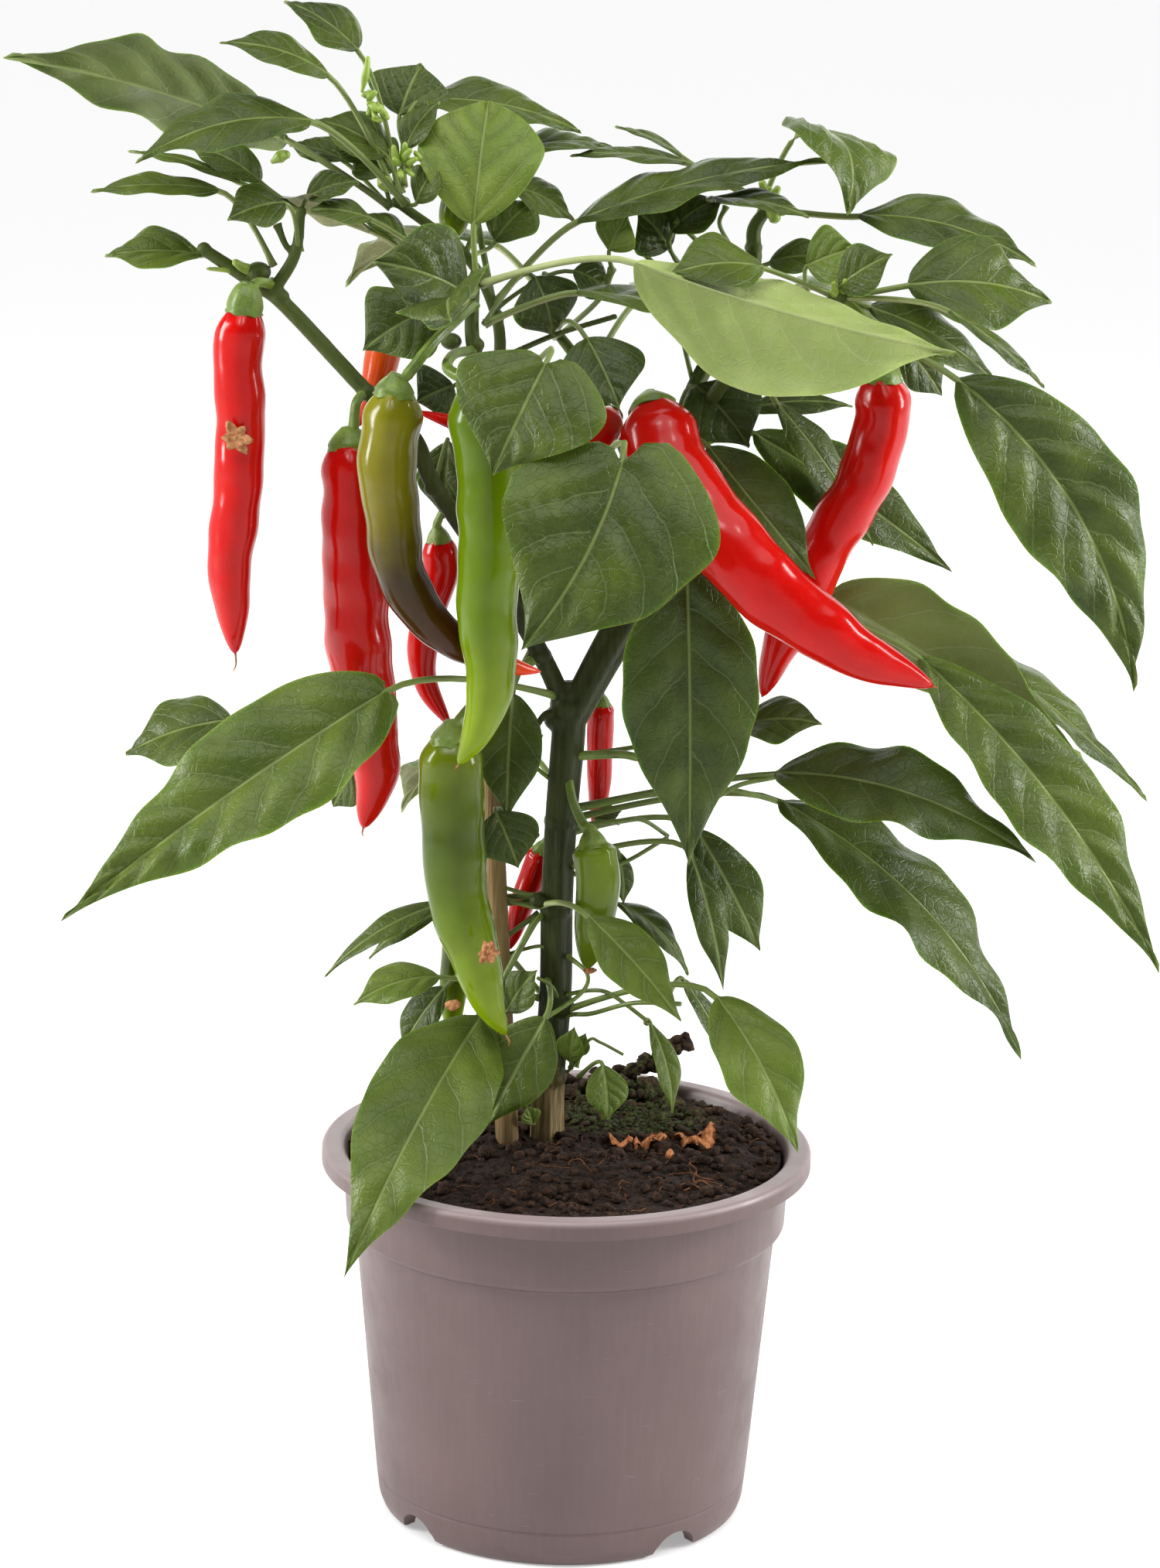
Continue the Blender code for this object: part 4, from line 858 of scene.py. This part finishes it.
# Buds and the youngest leaflets: (foot, tip, radius) of each, in one piece per shoot tip.
BUDS = {
    "buds_top": (((-74, 8, 493), (-72, 8, 505), 1.7), ((-74, 8, 492), (-71, 4, 494), 1.7),
        ((-72, 6, 492), (-69, 4, 494), 1.9), ((-72, 6, 491), (-71, 3, 489), 1.8),
        ((-71, 6, 490), (-68, 2, 488), 1.9), ((-70, 6, 489), (-69, 3, 485), 1.8),
        ((-69, 6, 490), (-66, 3, 487), 1.9), ((-68, 6, 488), (-65, 4, 485), 1.8),
        ((-71, 8, 488), (-72, 4, 486), 1.5), ((-70, 8, 486), (-67, 4, 484), 1.7)),
    "buds_middle": (((-61, 0, 470), (-63, -3, 477), 1.9), ((-61, 0, 472), (-59, -4, 478), 1.7),
        ((-60, 0, 471), (-57, -4, 476), 1.9), ((-61, 0, 470), (-63, -4, 473), 1.8),
        ((-59, 0, 470), (-55, -4, 473), 1.8), ((-59, 0, 469), (-56, -4, 467), 1.6),
        ((-61, 0, 469), (-60, -5, 467), 1.6), ((-53, 2, 471), (-56, -2, 475), 1.5)),
    "buds_small": (((-50, 14, 460), (-43, 10, 466), 3.4), ((-68, 4, 466), (-64, 2, 462), 3.4),
        ((-103, -6, 471), (-97, -8, 474), 2.6)),
    "buds_right": (((61, 38, 455), (60, 36, 463), 2.6), ((63, 38, 455), (66, 36, 461), 2.3),
        ((63, 38, 454), (65, 34, 449), 3.6), ((64, 38, 454), (68, 34, 452), 2.6),
        ((62, 38, 456), (63, 34, 461), 1.8)),
    "buds_crown": (((85, -10, 430), (83, -14, 436), 1.8), ((86, -10, 430), (87, -14, 437), 1.9),
        ((87, -10, 430), (91, -14, 434), 1.7), ((85, -10, 430), (82, -12, 433), 1.6)),
    "buds_left": (((-108, -8, 435), (-115, -12, 439), 2.6), ((-113, -8, 435), (-124, -10, 436), 1.3),
        ((-109, -8, 430), (-114, -12, 429), 2.2)),
}


def make_buds():
    for name, rows in BUDS.items():
        parts = []
        draw = Random(name)
        for foot, tip, radius in rows:
            foot, tip = np.array(foot, float), np.array(tip, float)
            bend = (foot + tip) / 2 + np.array([draw.uniform(-0.8, 0.8) for _ in range(3)])
            line = catmull([foot, bend, tip], 14)
            t = np.linspace(0, 1, len(line))
            swell = 0.25 + 0.75 * np.sin(pi * t**1.5) ** 0.8
            parts.append(tube(line, radius * np.minimum(swell, 1.02 - t * 0.6), 12, 0.08))
        points, faces = joined(parts)
        add_piece(mesh_object(name, points, faces, LOOKS["bud"]), "stem")


def twig(name, wider=1.0):
    """A tube that flares at the foot."""
    route, radius = TWIGS[name]
    line = catmull(route, 8 * (len(route) - 1))
    flare = 1 + 0.7 * np.exp(-np.arange(len(line)) / 2)
    return tube(line, radius * wider * flare, 10)


def make_twigs():
    """The thin green twigs and petioles."""
    points, faces = joined([twig(name, 0.95) for name in TWIGS if name not in WOODY])
    add_piece(mesh_object("twigs", points, faces, LOOKS["stalk"]), "stem")


def make_stem():
    """All shoots and woody twigs, with swollen nodes, fused into one skin."""
    parts = []
    for name, rows in SHOOTS.items():
        steps = 10 * (len(rows) - 1)
        line = catmull(rows, steps)
        thick = name in ("trunk", "right")
        radii = line[:, 3].copy()
        if name == "trunk":
            radii += 1.4 * np.exp(-(line[:, 2] - 117) / 9)
        parts.append(tube(line[:, :3], radii * 1.02, 32 if thick else 16,
                          0.085 if thick else 0.05, 5, 0.6))
        end = line[-1]
        parts.append(ball(end[:3], end[3] * 1.3))
    parts += [twig(name) for name in WOODY]
    for *centre, radius in SWELLINGS:
        parts.append(ball(centre, radius, (1, 1, 0.8)))
    points, faces = joined(parts)
    obj = mesh_object("stem_system", points, faces, LOOKS["stem"])
    fuse = obj.modifiers.new("fuse", "REMESH")
    fuse.mode = "VOXEL"
    fuse.voxel_size = 0.5 * MM
    fuse.use_smooth_shade = True
    ease = obj.modifiers.new("ease", "SMOOTH")
    ease.factor = 0.5
    ease.iterations = 3
    graph = bpy.context.evaluated_depsgraph_get()
    fused = bpy.data.meshes.new_from_object(obj.evaluated_get(graph))
    obj.modifiers.clear()
    obj.data = fused
    obj.data.shade_smooth()
    add_piece(obj, "stem", "stem")


# ---------------------------------------------------------------- peppers

SHOULDER = 0.08
PEPPER_SIDES = 36
PEPPER_ROWS = 64

PEPPER_TRAITS = {
    "pepper_left_red": {"lumps": 0.9, "style": 6.0, "dome": True, "full": 1.3},
    "pepper_centre_red": {"lumps": 1.1, "style": 2.5, "full": 1.0},
    "pepper_front_green": {"lumps": 0.8, "style": 2.0, "full": 0.8},
    "pepper_lower_green": {"look": "green_deep", "style": 4.0, "full": 0.75},
    "pepper_small_green": {"look": "green_pale", "lumps": 0.35},
    "pepper_behind_green": {"look": "green_deep"},
    "pepper_top_green": {"look": "green_deep"},
    "pepper_front_red": {"lumps": 1.0, "style": 1.5, "full": 0.6},
    "pepper_right_red": {"lumps": 1.0, "full": 0.9},
}


def pepper_radius(part, fullness):
    """The body's radius as a part of its greatest, from the shoulder (0) to the tip (1)."""
    fall = np.clip((part - SHOULDER) / (1 - SHOULDER), 0, 1)
    body = (1 - fall ** (1.4 + 3 * fullness)) ** 0.7
    neck = 0.56 + 0.44 * np.sin(np.pi / 2 * np.minimum(part / SHOULDER, 1))
    return np.where(part < SHOULDER, neck, body)


def make_pepper(name, colour, stalk, body, diameter, fullness):
    traits = PEPPER_TRAITS.get(name, {})
    draw = Random(name)
    fullness = traits.get("full", fullness)
    radius = diameter / 2
    line = resample(catmull(body, 60), PEPPER_ROWS)
    length = np.linalg.norm(np.diff(line, axis=0), axis=1).sum()
    part = (np.arange(PEPPER_ROWS) / PEPPER_ROWS)[:, None]
    angles = np.linspace(0, 2 * pi, PEPPER_SIDES, endpoint=False)[None, :]
    lumps = traits.get("lumps", 1.0) * min(1, diameter / 16)
    a, b, c, d, e = (draw.uniform(0, 2 * pi) for _ in range(5))
    shape = (1 + 0.035 * lumps * np.cos(2 * angles + a + 2.4 * part)
             + 0.03 * lumps * np.cos(3 * angles + b - 1.5 * part)
             + 0.035 * lumps * np.sin(2 * pi * part * length / 34 + c) * np.cos(angles + d)
             + 0.022 * lumps * np.sin(2 * pi * part * length / 15 + e) * np.cos(2 * angles + c)
             + 0.02 * lumps * np.sin(2 * pi * part * length / 22 + d))
    creases = 0.05 * np.cos(6 * angles + a) * np.exp(-part * length / 6)
    radii = radius * pepper_radius(part, fullness) * (shape + creases)
    firsts, seconds = frames(line)
    firsts, seconds = firsts[:-1], seconds[:-1]
    rings = (line[:-1, None, :] + firsts[:, None, :] * (radii * np.cos(angles))[:, :, None]
             + seconds[:, None, :] * (radii * np.sin(angles))[:, :, None])
    points, faces = lofted(rings, line[0], line[-1])
    grow = np.stack([part * np.ones_like(angles), np.cos(angles) * np.ones_like(part),
                     np.sin(angles) * np.ones_like(part)], axis=-1).reshape(-1, 3)
    grow = np.vstack([grow, [0, 0, 0], [1, 0, 0]])
    look = LOOKS[traits.get("look", colour)]
    fruit = mesh_object(name, points, outward(points, faces), look, grow=grow)
    add_piece(fruit, "pepper_" + colour, name)
    make_cap(name + "_cap", stalk, line, radius, fullness, length, draw, traits.get("dome", False))
    if "style" in traits:
        way = along(line)[-1]
        bend = unit(way + 0.35 * np.array((draw.uniform(-1, 1), draw.uniform(-1, 1), 0)))
        hair = catmull([line[-1] - way * 1.5, line[-1] + way * traits["style"] * 0.5,
                        line[-1] + bend * traits["style"]], 8)
        tip_points, tip_faces = tube(hair, np.linspace(0.42, 0.16, len(hair)), 6)
        style = mesh_object(name + "_style", tip_points, outward(tip_points, tip_faces), LOOKS["dry"])
        add_piece(style, "stem")


# The cap's outline, as a plain cone or a tall dome: (depth along the fruit in millimetres, radius as
# a part of the fruit's, or how far it stands off the fruit's skin).
CONE = ((-4.6, 0.3, 0), (-3.6, 0.41, 0), (-2.4, 0.52, 0), (-1.2, 0.6, 0), (-0.3, 0.65, 0),
        (0.3, 0, 0.6), (0.9, 0, 0.7), (1.4, 0, 0.4))
DOME = ((-8.6, 0.2, 0), (-8.3, 0.3, 0), (-7.2, 0.44, 0), (-5.4, 0.56, 0), (-3.2, 0.65, 0),
        (-1.0, 0.7, 0), (0, 0.69, 0), (0.4, 0, 0.7), (0.9, 0, 0.9), (1.3, 0, 0.5))
CAP_SIDES = 36


def make_cap(name, stalk, line, radius, fullness, length, draw, dome):
    """The stalk and the green cap over the fruit's shoulder, as one closed piece."""
    start = unit(line[3] - line[0])
    slim = min(1.0, radius / 8)
    neck = line[0] - start * (9 if dome else 5.5) * slim
    route = [np.array(p, float) for p in stalk]
    path = resample(catmull([*route, neck], 12 * len(route)), 22)
    firsts, seconds = frames(np.vstack([path, line[:4]]))
    first, second = firsts[len(path)], seconds[len(path)]
    angles = np.linspace(0, 2 * pi, CAP_SIDES, endpoint=False)
    t = np.linspace(0, 1, len(path))
    swell = 1.55 * slim * (1 + 0.5 * np.exp(-t / 0.07)) + 0.5 * slim * t**3
    teeth = 0.5 + 0.5 * np.cos(6 * angles + draw.uniform(0, 6))

    def ring(centre, radii, one, two, push=0.0):
        """One ring round the centre, pushed along the fruit."""
        around = one * (radii * np.cos(angles))[:, None] + two * (radii * np.sin(angles))[:, None]
        return centre + around + start * np.reshape(push * np.ones(CAP_SIDES), (-1, 1))

    def skin(depth):
        return radius * float(pepper_radius(np.array(max(depth, 0) / length), fullness))

    ridged = 1 + 0.07 * np.cos(5 * angles)
    rings = [ring(point, swell[k] * ridged, firsts[k], seconds[k]) for k, point in enumerate(path)]
    fluted = 1 + 0.03 * np.cos(6 * angles)
    for depth, share, over in DOME if dome else CONE:
        depth = depth * slim
        wide = share * radius if share else skin(depth) + over * slim
        push = 0.0 if share else 0.7 * teeth * slim
        rings.append(ring(line[0] + start * depth, wide * fluted, first, second, push))
    for depth, share in ((1.0, 0.85), (0.8, 0.5)):
        inside = line[0] + start * depth * slim
        rings.append(ring(inside, skin(depth) * share * np.ones(CAP_SIDES), first, second))
    points, faces = lofted(np.array(rings), path[0], inside)
    obj = mesh_object(name, points, outward(points, faces), LOOKS["cap"])
    add_piece(obj, "stem")


# Withered flowers that cling to the plant: centre, size and the way that they face.
FLOWERS = (
    ("flower_left", (-112, -41, 385), 5.4, (-0.2, -1, 0.2)),
    ("flower_lower", (-27, -52, 215), 4.6, (-0.2, -1, 0.3)),
    ("flower_right", (57, -4, 432), 4.8, (0.4, -0.6, -0.7)),
)


# Scars where the flower fell from a fruit's tip or stuck to it: centre, radius, stretch.
SCARS = (
    ("scar_lower_green", (-39, -40, 193), 2.6, (1, 0.5, 0.7)),
    ("scar_small_green", (7, -30, 203), 2.2, (1, 0.5, 0.45)),
)


def make_scars():
    for name, centre, radius, stretch in SCARS:
        points, faces = ball((0, 0, 0), 1, rings=6, sides=14)
        bulge = [1 + 0.4 * noise.noise(Vector(p) * 2) for p in points]
        points = np.array(centre) + points * np.array(bulge)[:, None] * radius * np.array(stretch)
        add_piece(mesh_object(name, points, faces, LOOKS["dry"]), "stem")


def petal(draw, turn, first, second, way, size):
    """One crumpled petal that leaves the flower's middle at this turn."""
    out = first * cos(turn) + second * sin(turn)
    reach = size * draw.uniform(0.75, 1.15)
    line = catmull([np.zeros(3), out * reach * 0.5 + way * size * 0.12,
                    out * reach + way * draw.uniform(-0.3, 0.5) * size], 10)
    t = np.linspace(0, 1, len(line))
    wide = size * 0.34 * np.sin(pi * (0.12 + 0.83 * t)) ** 0.8
    firsts = unit(np.cross(along(line), way + 0.3 * out))
    seconds = np.cross(along(line), firsts)
    turns = np.linspace(0, 2 * pi, 12, endpoint=False)
    crimp = 0.25 * size * draw.uniform(0.3, 0.7) * np.cos(2 * turns)
    rings = (line[:, None, :] + firsts[:, None, :] * (wide[:, None] * np.cos(turns))[:, :, None]
             + seconds[:, None, :] * (0.18 * np.sin(turns) + crimp * t[:, None] * 0.5)[:, :, None])
    return lofted(rings, line[0], line[-1])


def make_flowers():
    """Crumpled brown petals round a small ball."""
    petals = 6
    for name, centre, size, way in FLOWERS:
        draw = Random(name)
        way = unit(np.array(way, float))
        first = unit(np.cross(way, (0, 0, 1)))
        second = np.cross(way, first)
        parts = []
        for k in range(petals):
            turn = 2 * pi * k / petals + draw.uniform(-0.25, 0.25)
            parts.append(petal(draw, turn, first, second, way, size))
        parts.append(ball((0, 0, 0), size * 0.2))
        points, faces = joined(parts)
        obj = mesh_object(name, points + np.array(centre), faces, LOOKS["dry"])
        add_piece(obj, "stem")


# ---------------------------------------------------------------- pot, soil and stake

POT_SIDES = 192
# Each drain notch is a tunnel through the wall and a wider, lower one through the foot ring: where it
# starts and ends from the axis, its radius at both ends, and its height as a part of its radius.
NOTCH_ANGLES = (39, 129, 219, 309)
NOTCH_TUNNELS = ((54, 70, (9.2, 9.0), 0.95), (54, 62.2, (11.6, 11.6), 0.22))


def turned(profile, sides):
    """A closed shape turned about the Z axis, from (radius, height) points that start and end on it."""
    angles = np.linspace(0, 2 * pi, sides, endpoint=False)
    rows = [(r, z) for r, z in profile if r > 0]
    rings = np.array([np.stack([r * np.cos(angles), r * np.sin(angles), np.full(sides, z)], axis=1)
                      for r, z in rows])
    return lofted(rings, (0, 0, profile[0][1]), (0, 0, profile[-1][1]))


def rounded(profile, size, steps=4):
    """The profile with each corner rounded by up to this radius."""
    points = [np.array(p, float) for p in profile]
    out = [points[0]]
    for before, corner, after in zip(points, points[1:], points[2:]):
        reach = min(size, 0.45 * np.linalg.norm(corner - before), 0.45 * np.linalg.norm(after - corner))
        start = corner + unit(before - corner) * reach
        end = corner + unit(after - corner) * reach
        for t in np.linspace(0, 1, steps + 1):
            out.append((1 - t) ** 2 * start + 2 * t * (1 - t) * corner + t * t * end)
    out.append(points[-1])
    return [tuple(p) for p in out]


def make_pot():
    profile = (
        (0, 10), (61.6, 10), (63.4, 12), (71.7, 101.8), (74.5, 105), (75.7, 128), (77.4, 131.2),
        (78.6, 132), (84.0, 132), (85, 130.6), (85, 125.5), (83.5, 125.5), (83.4, 129.8),
        (77.4, 129.4), (76.4, 105.6), (75.3, 104), (73.2, 103), (65.15, 13.2), (64.75, 12.9),
        (65.0, 11.9), (64.2, 5), (62.9, 1.6), (61, 0), (58.4, 0), (58.4, 8), (0, 8),
    )
    points, faces = turned(rounded(profile, 0.8), POT_SIDES)
    pot = mesh_object("pot_shell", points, outward(points, faces), LOOKS["pot"])
    cutters = []
    for near, far, radii, flat in NOTCH_TUNNELS:
        shapes = []
        for angle in NOTCH_ANGLES:
            way = np.array((cos(radians(angle)), sin(radians(angle)), 0))
            points, faces = tube(np.array([way * near, way * far]), radii, 40)
            shapes.append((points * (1, 1, flat), faces))
        points, faces = joined(shapes)
        cutters.append(mesh_object("notches", points, outward(points, faces), LOOKS["pot"]))
        change = pot.modifiers.new("cut", "BOOLEAN")
        change.object = cutters[-1]
        change.solver = "EXACT"
    graph = bpy.context.evaluated_depsgraph_get()
    shell = bpy.data.meshes.new_from_object(pot.evaluated_get(graph))
    pot.modifiers.clear()
    pot.data = shell
    for cutter in cutters:
        bpy.data.objects.remove(cutter, do_unlink=True)
    pot.data.set_sharp_from_angle(angle=radians(38))
    add_piece(pot, "pot", "pot")


SOIL_RADIUS = 74.6
SOIL_EDGE = 128.4
SOIL_MOUND = 3.0


def soil_height(x, y):
    """The soil's surface, in millimetres, with its clods."""
    r = (x * x + y * y) ** 0.5
    mound = SOIL_EDGE + SOIL_MOUND * max(0.0, 1 - (r / 76) ** 2) ** 0.8
    spot = Vector((x, y, 0))
    clods = (1.5 * noise.noise(spot / 17) + 1.4 * noise.noise(spot / 7 + Vector((9, 0, 0)))
             + 0.9 * noise.noise(spot / 3.1) + 0.45 * noise.noise(spot / 1.3))
    return mound + clods * min(1, (77 - r) / 6)


def make_soil():
    rings, sides = 74, 220
    rows = []
    for k in range(rings):
        radius = SOIL_RADIUS * (k + 0.5) / (rings - 0.5)
        ring = []
        for j in range(sides):
            a = 2 * pi * j / sides
            x, y = radius * cos(a), radius * sin(a)
            ring.append((x, y, soil_height(x, y)))
        rows.append(ring)
    for radius, z in ((74.2, 118), (70.6, 100), (62.6, 15), (60.8, 10.3)):
        rows.append([(radius * cos(2 * pi * j / sides), radius * sin(2 * pi * j / sides), z)
                     for j in range(sides)])
    points, faces = lofted(np.array(rows), (0, 0, soil_height(0, 0)), (0, 0, 10.3))
    soil = mesh_object("soil_bed", points, outward(points, faces), LOOKS["soil"])
    add_piece(soil, "soil", "soil")


def lump(draw, centre, size, flat=1.0):
    """One rough closed grain: a ball pushed in and out by noise."""
    points, faces = ball((0, 0, 0), 1, rings=4, sides=7)
    seed = Vector((draw.uniform(0, 99), draw.uniform(0, 99), draw.uniform(0, 99)))
    bulge = [1 + 0.55 * noise.noise(Vector(p) * 1.3 + seed) for p in points]
    points = points * np.array(bulge)[:, None] * (1, draw.uniform(0.6, 1), flat * draw.uniform(0.6, 1))
    turn = np.array(Matrix.Rotation(draw.uniform(0, 2 * pi), 3, "Z")
                    @ Matrix.Rotation(draw.uniform(-0.5, 0.5), 3, "X"))
    return np.array(centre) + points @ turn.T * size, faces


def spot_on_soil(draw, reach):
    a = draw.uniform(0, 2 * pi)
    r = reach * draw.random() ** 0.5
    return r * cos(a), r * sin(a)


def make_crumbs():
    draw = Random(11)
    parts = []
    for _ in range(1500):
        x, y = spot_on_soil(draw, 74)
        size = 0.55 + 2.7 * draw.random() ** 3
        parts.append(lump(draw, (x, y, soil_height(x, y) + size * 0.25), size, 0.8))
    points, faces = joined(parts)
    add_piece(mesh_object("soil_crumbs", points, faces, LOOKS["crumb"]), "soil")


def fibre(draw, x, y, reach, radius):
    """A root fibre that lies on the soil in a loose curve."""
    way = draw.uniform(0, 2 * pi)
    route = []
    for k in range(5):
        way += draw.uniform(-1.0, 1.0)
        r = (x * x + y * y) ** 0.5
        z = soil_height(x, y) if r < 75 else 131.5
        route.append((x, y, z + (0.4 if k in (0, 4) else draw.uniform(0.5, 2.2))))
        x, y = x + reach / 4 * cos(way), y + reach / 4 * sin(way)
        r = (x * x + y * y) ** 0.5
        if r > 73:
            x, y = x * 73 / r, y * 73 / r
    line = catmull(route, 20)
    return tube(line, np.linspace(radius, radius * 0.5, len(line)), 6)


def make_fibres():
    draw = Random(5)
    parts = [fibre(draw, *spot_on_soil(draw, 70), draw.uniform(5, 14), draw.uniform(0.12, 0.24))
             for _ in range(75)]
    for x, y, reach in ((45, -38, 22), (50, -34, 18), (40, -44, 16), (47, -42, 20), (53, -40, 14),
                        (-70, 18, 20)):
        parts.append(fibre(draw, x, y, reach, 0.36))
    points, faces = joined(parts)
    add_piece(mesh_object("soil_fibres", points, faces, LOOKS["fibre"]), "soil")


def flake(draw, centre, size, lift):
    """A crumpled dry scrap: a thin closed sheet."""
    steps = 8
    angle = draw.uniform(0, 2 * pi)
    seed = Vector((draw.uniform(0, 50), draw.uniform(0, 50), 0))
    count = 2 * steps
    tops, lows = [], []
    for ring in (0.35, 0.7, 1.0):
        for side, rows in ((1, tops), (-1, lows)):
            points = []
            for j in range(count):
                a = 2 * pi * j / count
                r = size * ring * (1 + 0.4 * noise.noise(Vector((cos(a), sin(a), 3)) + seed))
                x, y = r * cos(a), 0.55 * r * sin(a)
                z = size * 0.4 * noise.noise(Vector((x, y, 0)) / size * 1.6 + seed) * lift
                z += side * 0.16 * (ring < 1)
                points.append((x * cos(angle) - y * sin(angle), x * sin(angle) + y * cos(angle), z))
            rows.append(points)
    rings = np.array(tops + lows[:-1][::-1]) + np.array(centre)
    return lofted(rings, rings[0].mean(axis=0), rings[-1].mean(axis=0))


def make_litter():
    """Scraps of dry leaf and bark on the soil."""
    draw = Random(21)
    parts = []
    for x, y, size in ((46, 3, 8), (42, 7, 6), (19, -2, 6), (26, -4, 5), (31, 3, 4.5),
                       (36, -13, 3), (2, 66, 4), (-42, 30, 3), (-50, -20, 3), (-12, 50, 4), (10, -50, 2.5)):
        parts.append(flake(draw, (x, y, soil_height(x, y) + 0.35 * size), 1.1 * size, 2.2))
    points, faces = joined(parts)
    add_piece(mesh_object("soil_litter", points, faces, LOOKS["litter"]), "soil")


def make_clump():
    """A dark lump of peat and root that stands up at the back of the pot."""
    draw = Random(3)
    route = ((23, 62, 139), (29, 64, 141), (35, 65, 145), (42, 66, 149))
    line = catmull(route, 16)
    parts = [tube(line, 2.0 + 0.6 * np.sin(np.arange(len(line)) * 1.7), 10)]
    for _ in range(110):
        x, y = draw.uniform(-8, 36), draw.uniform(52, 67)
        rise = 9 * max(0, 1 - ((x - 14) / 24) ** 2) * draw.random()
        parts.append(lump(draw, (x, y, 129 + rise), draw.uniform(1.6, 3.6)))
    for _ in range(46):
        x, y, z = line[draw.randrange(len(line))]
        size = draw.uniform(1.3, 3.2)
        parts.append(lump(draw, (x + draw.uniform(-2, 2), y + draw.uniform(-2, 2),
                                 z + draw.uniform(-2, 2)), size))
    points, faces = joined(parts)
    add_piece(mesh_object("soil_clump", points, faces, LOOKS["crumb"]), "soil")


def make_moss():
    draw = Random(8)
    parts = []
    for _ in range(620):
        a, r = draw.uniform(0, 2 * pi), 26 * draw.random() ** 0.6
        x, y = 22 + r * cos(a), 36 + 0.8 * r * sin(a)
        if noise.noise(Vector((x, y, 0)) / 9) < -0.12:
            continue
        parts.append(lump(draw, (x, y, soil_height(x, y) + 0.2), draw.uniform(0.5, 1.3), 0.9))
    points, faces = joined(parts)
    add_piece(mesh_object("soil_moss", points, faces, LOOKS["moss"]), "soil")


def make_stake():
    foot, top = np.array((-15, 0, 36.0)), np.array((-36, 8, 388.0))
    way = unit(top - foot)
    stops = ((0, 3.2), (0.8, 3.8), (1.6, 4.0))
    line = [foot + way * d for d, _ in stops] + [foot + (top - foot) * t for t in
                                                 np.linspace(0.1, 0.95, 14)]
    line += [top - way * d for d, _ in stops[::-1]]
    radii = [r for _, r in stops] + [4.0] * 14 + [r for _, r in stops[::-1]]
    points, faces = tube(np.array(line), radii, 28, 0.012, 7)
    stake = mesh_object("stake_rod", points, outward(points, faces), LOOKS["stake"], sharp=50)
    add_piece(stake, "stake", "stake")


# ---------------------------------------------------------------- stage


def make_stage():
    data = bpy.data.meshes.new("floor")
    half = 14.0
    data.from_pydata([(-half, -half, 0), (half, -half, 0), (half, half, 0), (-half, half, 0)], [],
                     [(0, 1, 2, 3)])
    floor = bpy.data.objects.new("floor", data)
    bpy.context.scene.collection.objects.link(floor)
    look = Look("floor", Roughness=0.9, Specular_IOR_Level=0.1, Emission_Color=(1, 1, 1, 1),
                Emission_Strength=0.34)
    data.materials.append(look.finish((0.6, 0.6, 0.6, 1)))


# Area lights: name, place, the height on the plant's axis that it faces, size in metres, watts.
AREA_LIGHTS = (
    ("left", (-1.35, -0.1, 0.75), 0.25, (0.3, 1.0), 26),
    ("right", (1.4, 0.0, 0.75), 0.25, (0.3, 1.0), 28),
    ("high_left", (-0.45, -0.9, 1.6), 0.3, (0.25, 0.25), 2.2),
    ("high_right", (0.3, -0.95, 1.65), 0.3, (0.25, 0.25), 2.2),
    ("back", (0, 2.2, 1.1), 0.3, (3.2, 1.3), 22),
)
# The sky's strength from the horizon up: even, then fading out between two heights on a unit sphere.
SKY = (0.13, 0.33, 0.93, 0.08)


def area_light(name, place, aim, size, power):
    data = bpy.data.lights.new(name, "AREA")
    data.shape = "RECTANGLE"
    data.size, data.size_y = size
    data.energy = power
    lamp = bpy.data.objects.new(name, data)
    lamp.location = place
    lamp.rotation_euler = (Vector(aim) - Vector(place)).to_track_quat("-Z", "Y").to_euler()
    bpy.context.scene.collection.objects.link(lamp)


def make_light():
    world = bpy.data.worlds.new("studio")
    world.use_nodes = True
    tree = world.node_tree
    sky = tree.nodes["Background"]
    sky.inputs[0].default_value = (1, 1, 1, 1)
    split = tree.nodes.new("ShaderNodeSeparateXYZ")
    tree.links.new(tree.nodes.new("ShaderNodeTexCoord").outputs["Generated"], split.inputs[0])
    fade = tree.nodes.new("ShaderNodeMapRange")
    tree.links.new(split.outputs[2], fade.inputs[0])
    for k, value in enumerate(SKY):
        fade.inputs[k + 1].default_value = value
    tree.links.new(fade.outputs[0], sky.inputs[1])
    bpy.context.scene.world = world
    for name, place, height, size, power in AREA_LIGHTS:
        area_light(name, place, (0, 0, height), size, power)
    sun = bpy.data.lights.new("overhead", "SUN")
    sun.energy = 2.9
    sun.angle = radians(70)
    lamp = bpy.data.objects.new("overhead", sun)
    lamp.rotation_euler = (radians(14), 0, 0)
    bpy.context.scene.collection.objects.link(lamp)
    view = bpy.context.scene.view_settings
    view.view_transform = "Standard"
    view.look = "None"


def make_camera():
    data = bpy.data.cameras.new("camera")
    data.sensor_width = 36
    data.lens = CAMERA_LENS
    data.clip_start = 0.01
    data.clip_end = 100
    camera = bpy.data.objects.new("camera", data)
    bpy.context.scene.collection.objects.link(camera)
    camera.matrix_world = (Matrix.Translation(CAMERA_PLACE)
                           @ Matrix.Rotation(radians(CAMERA_PITCH), 4, "X")
                           @ Matrix.Rotation(radians(CAMERA_ROLL), 4, "Z"))
    bpy.context.scene.camera = camera


def main():
    make_camera()
    make_light()
    make_stage()
    make_pot()
    make_soil()
    make_crumbs()
    make_fibres()
    make_litter()
    make_clump()
    make_moss()
    make_stake()
    make_stem()
    make_twigs()
    for row in LEAVES + SMALL_LEAVES:
        make_leaf(*row)
    for row in PEPPERS:
        make_pepper(*row)
    make_buds()
    make_flowers()
    make_scars()


main()
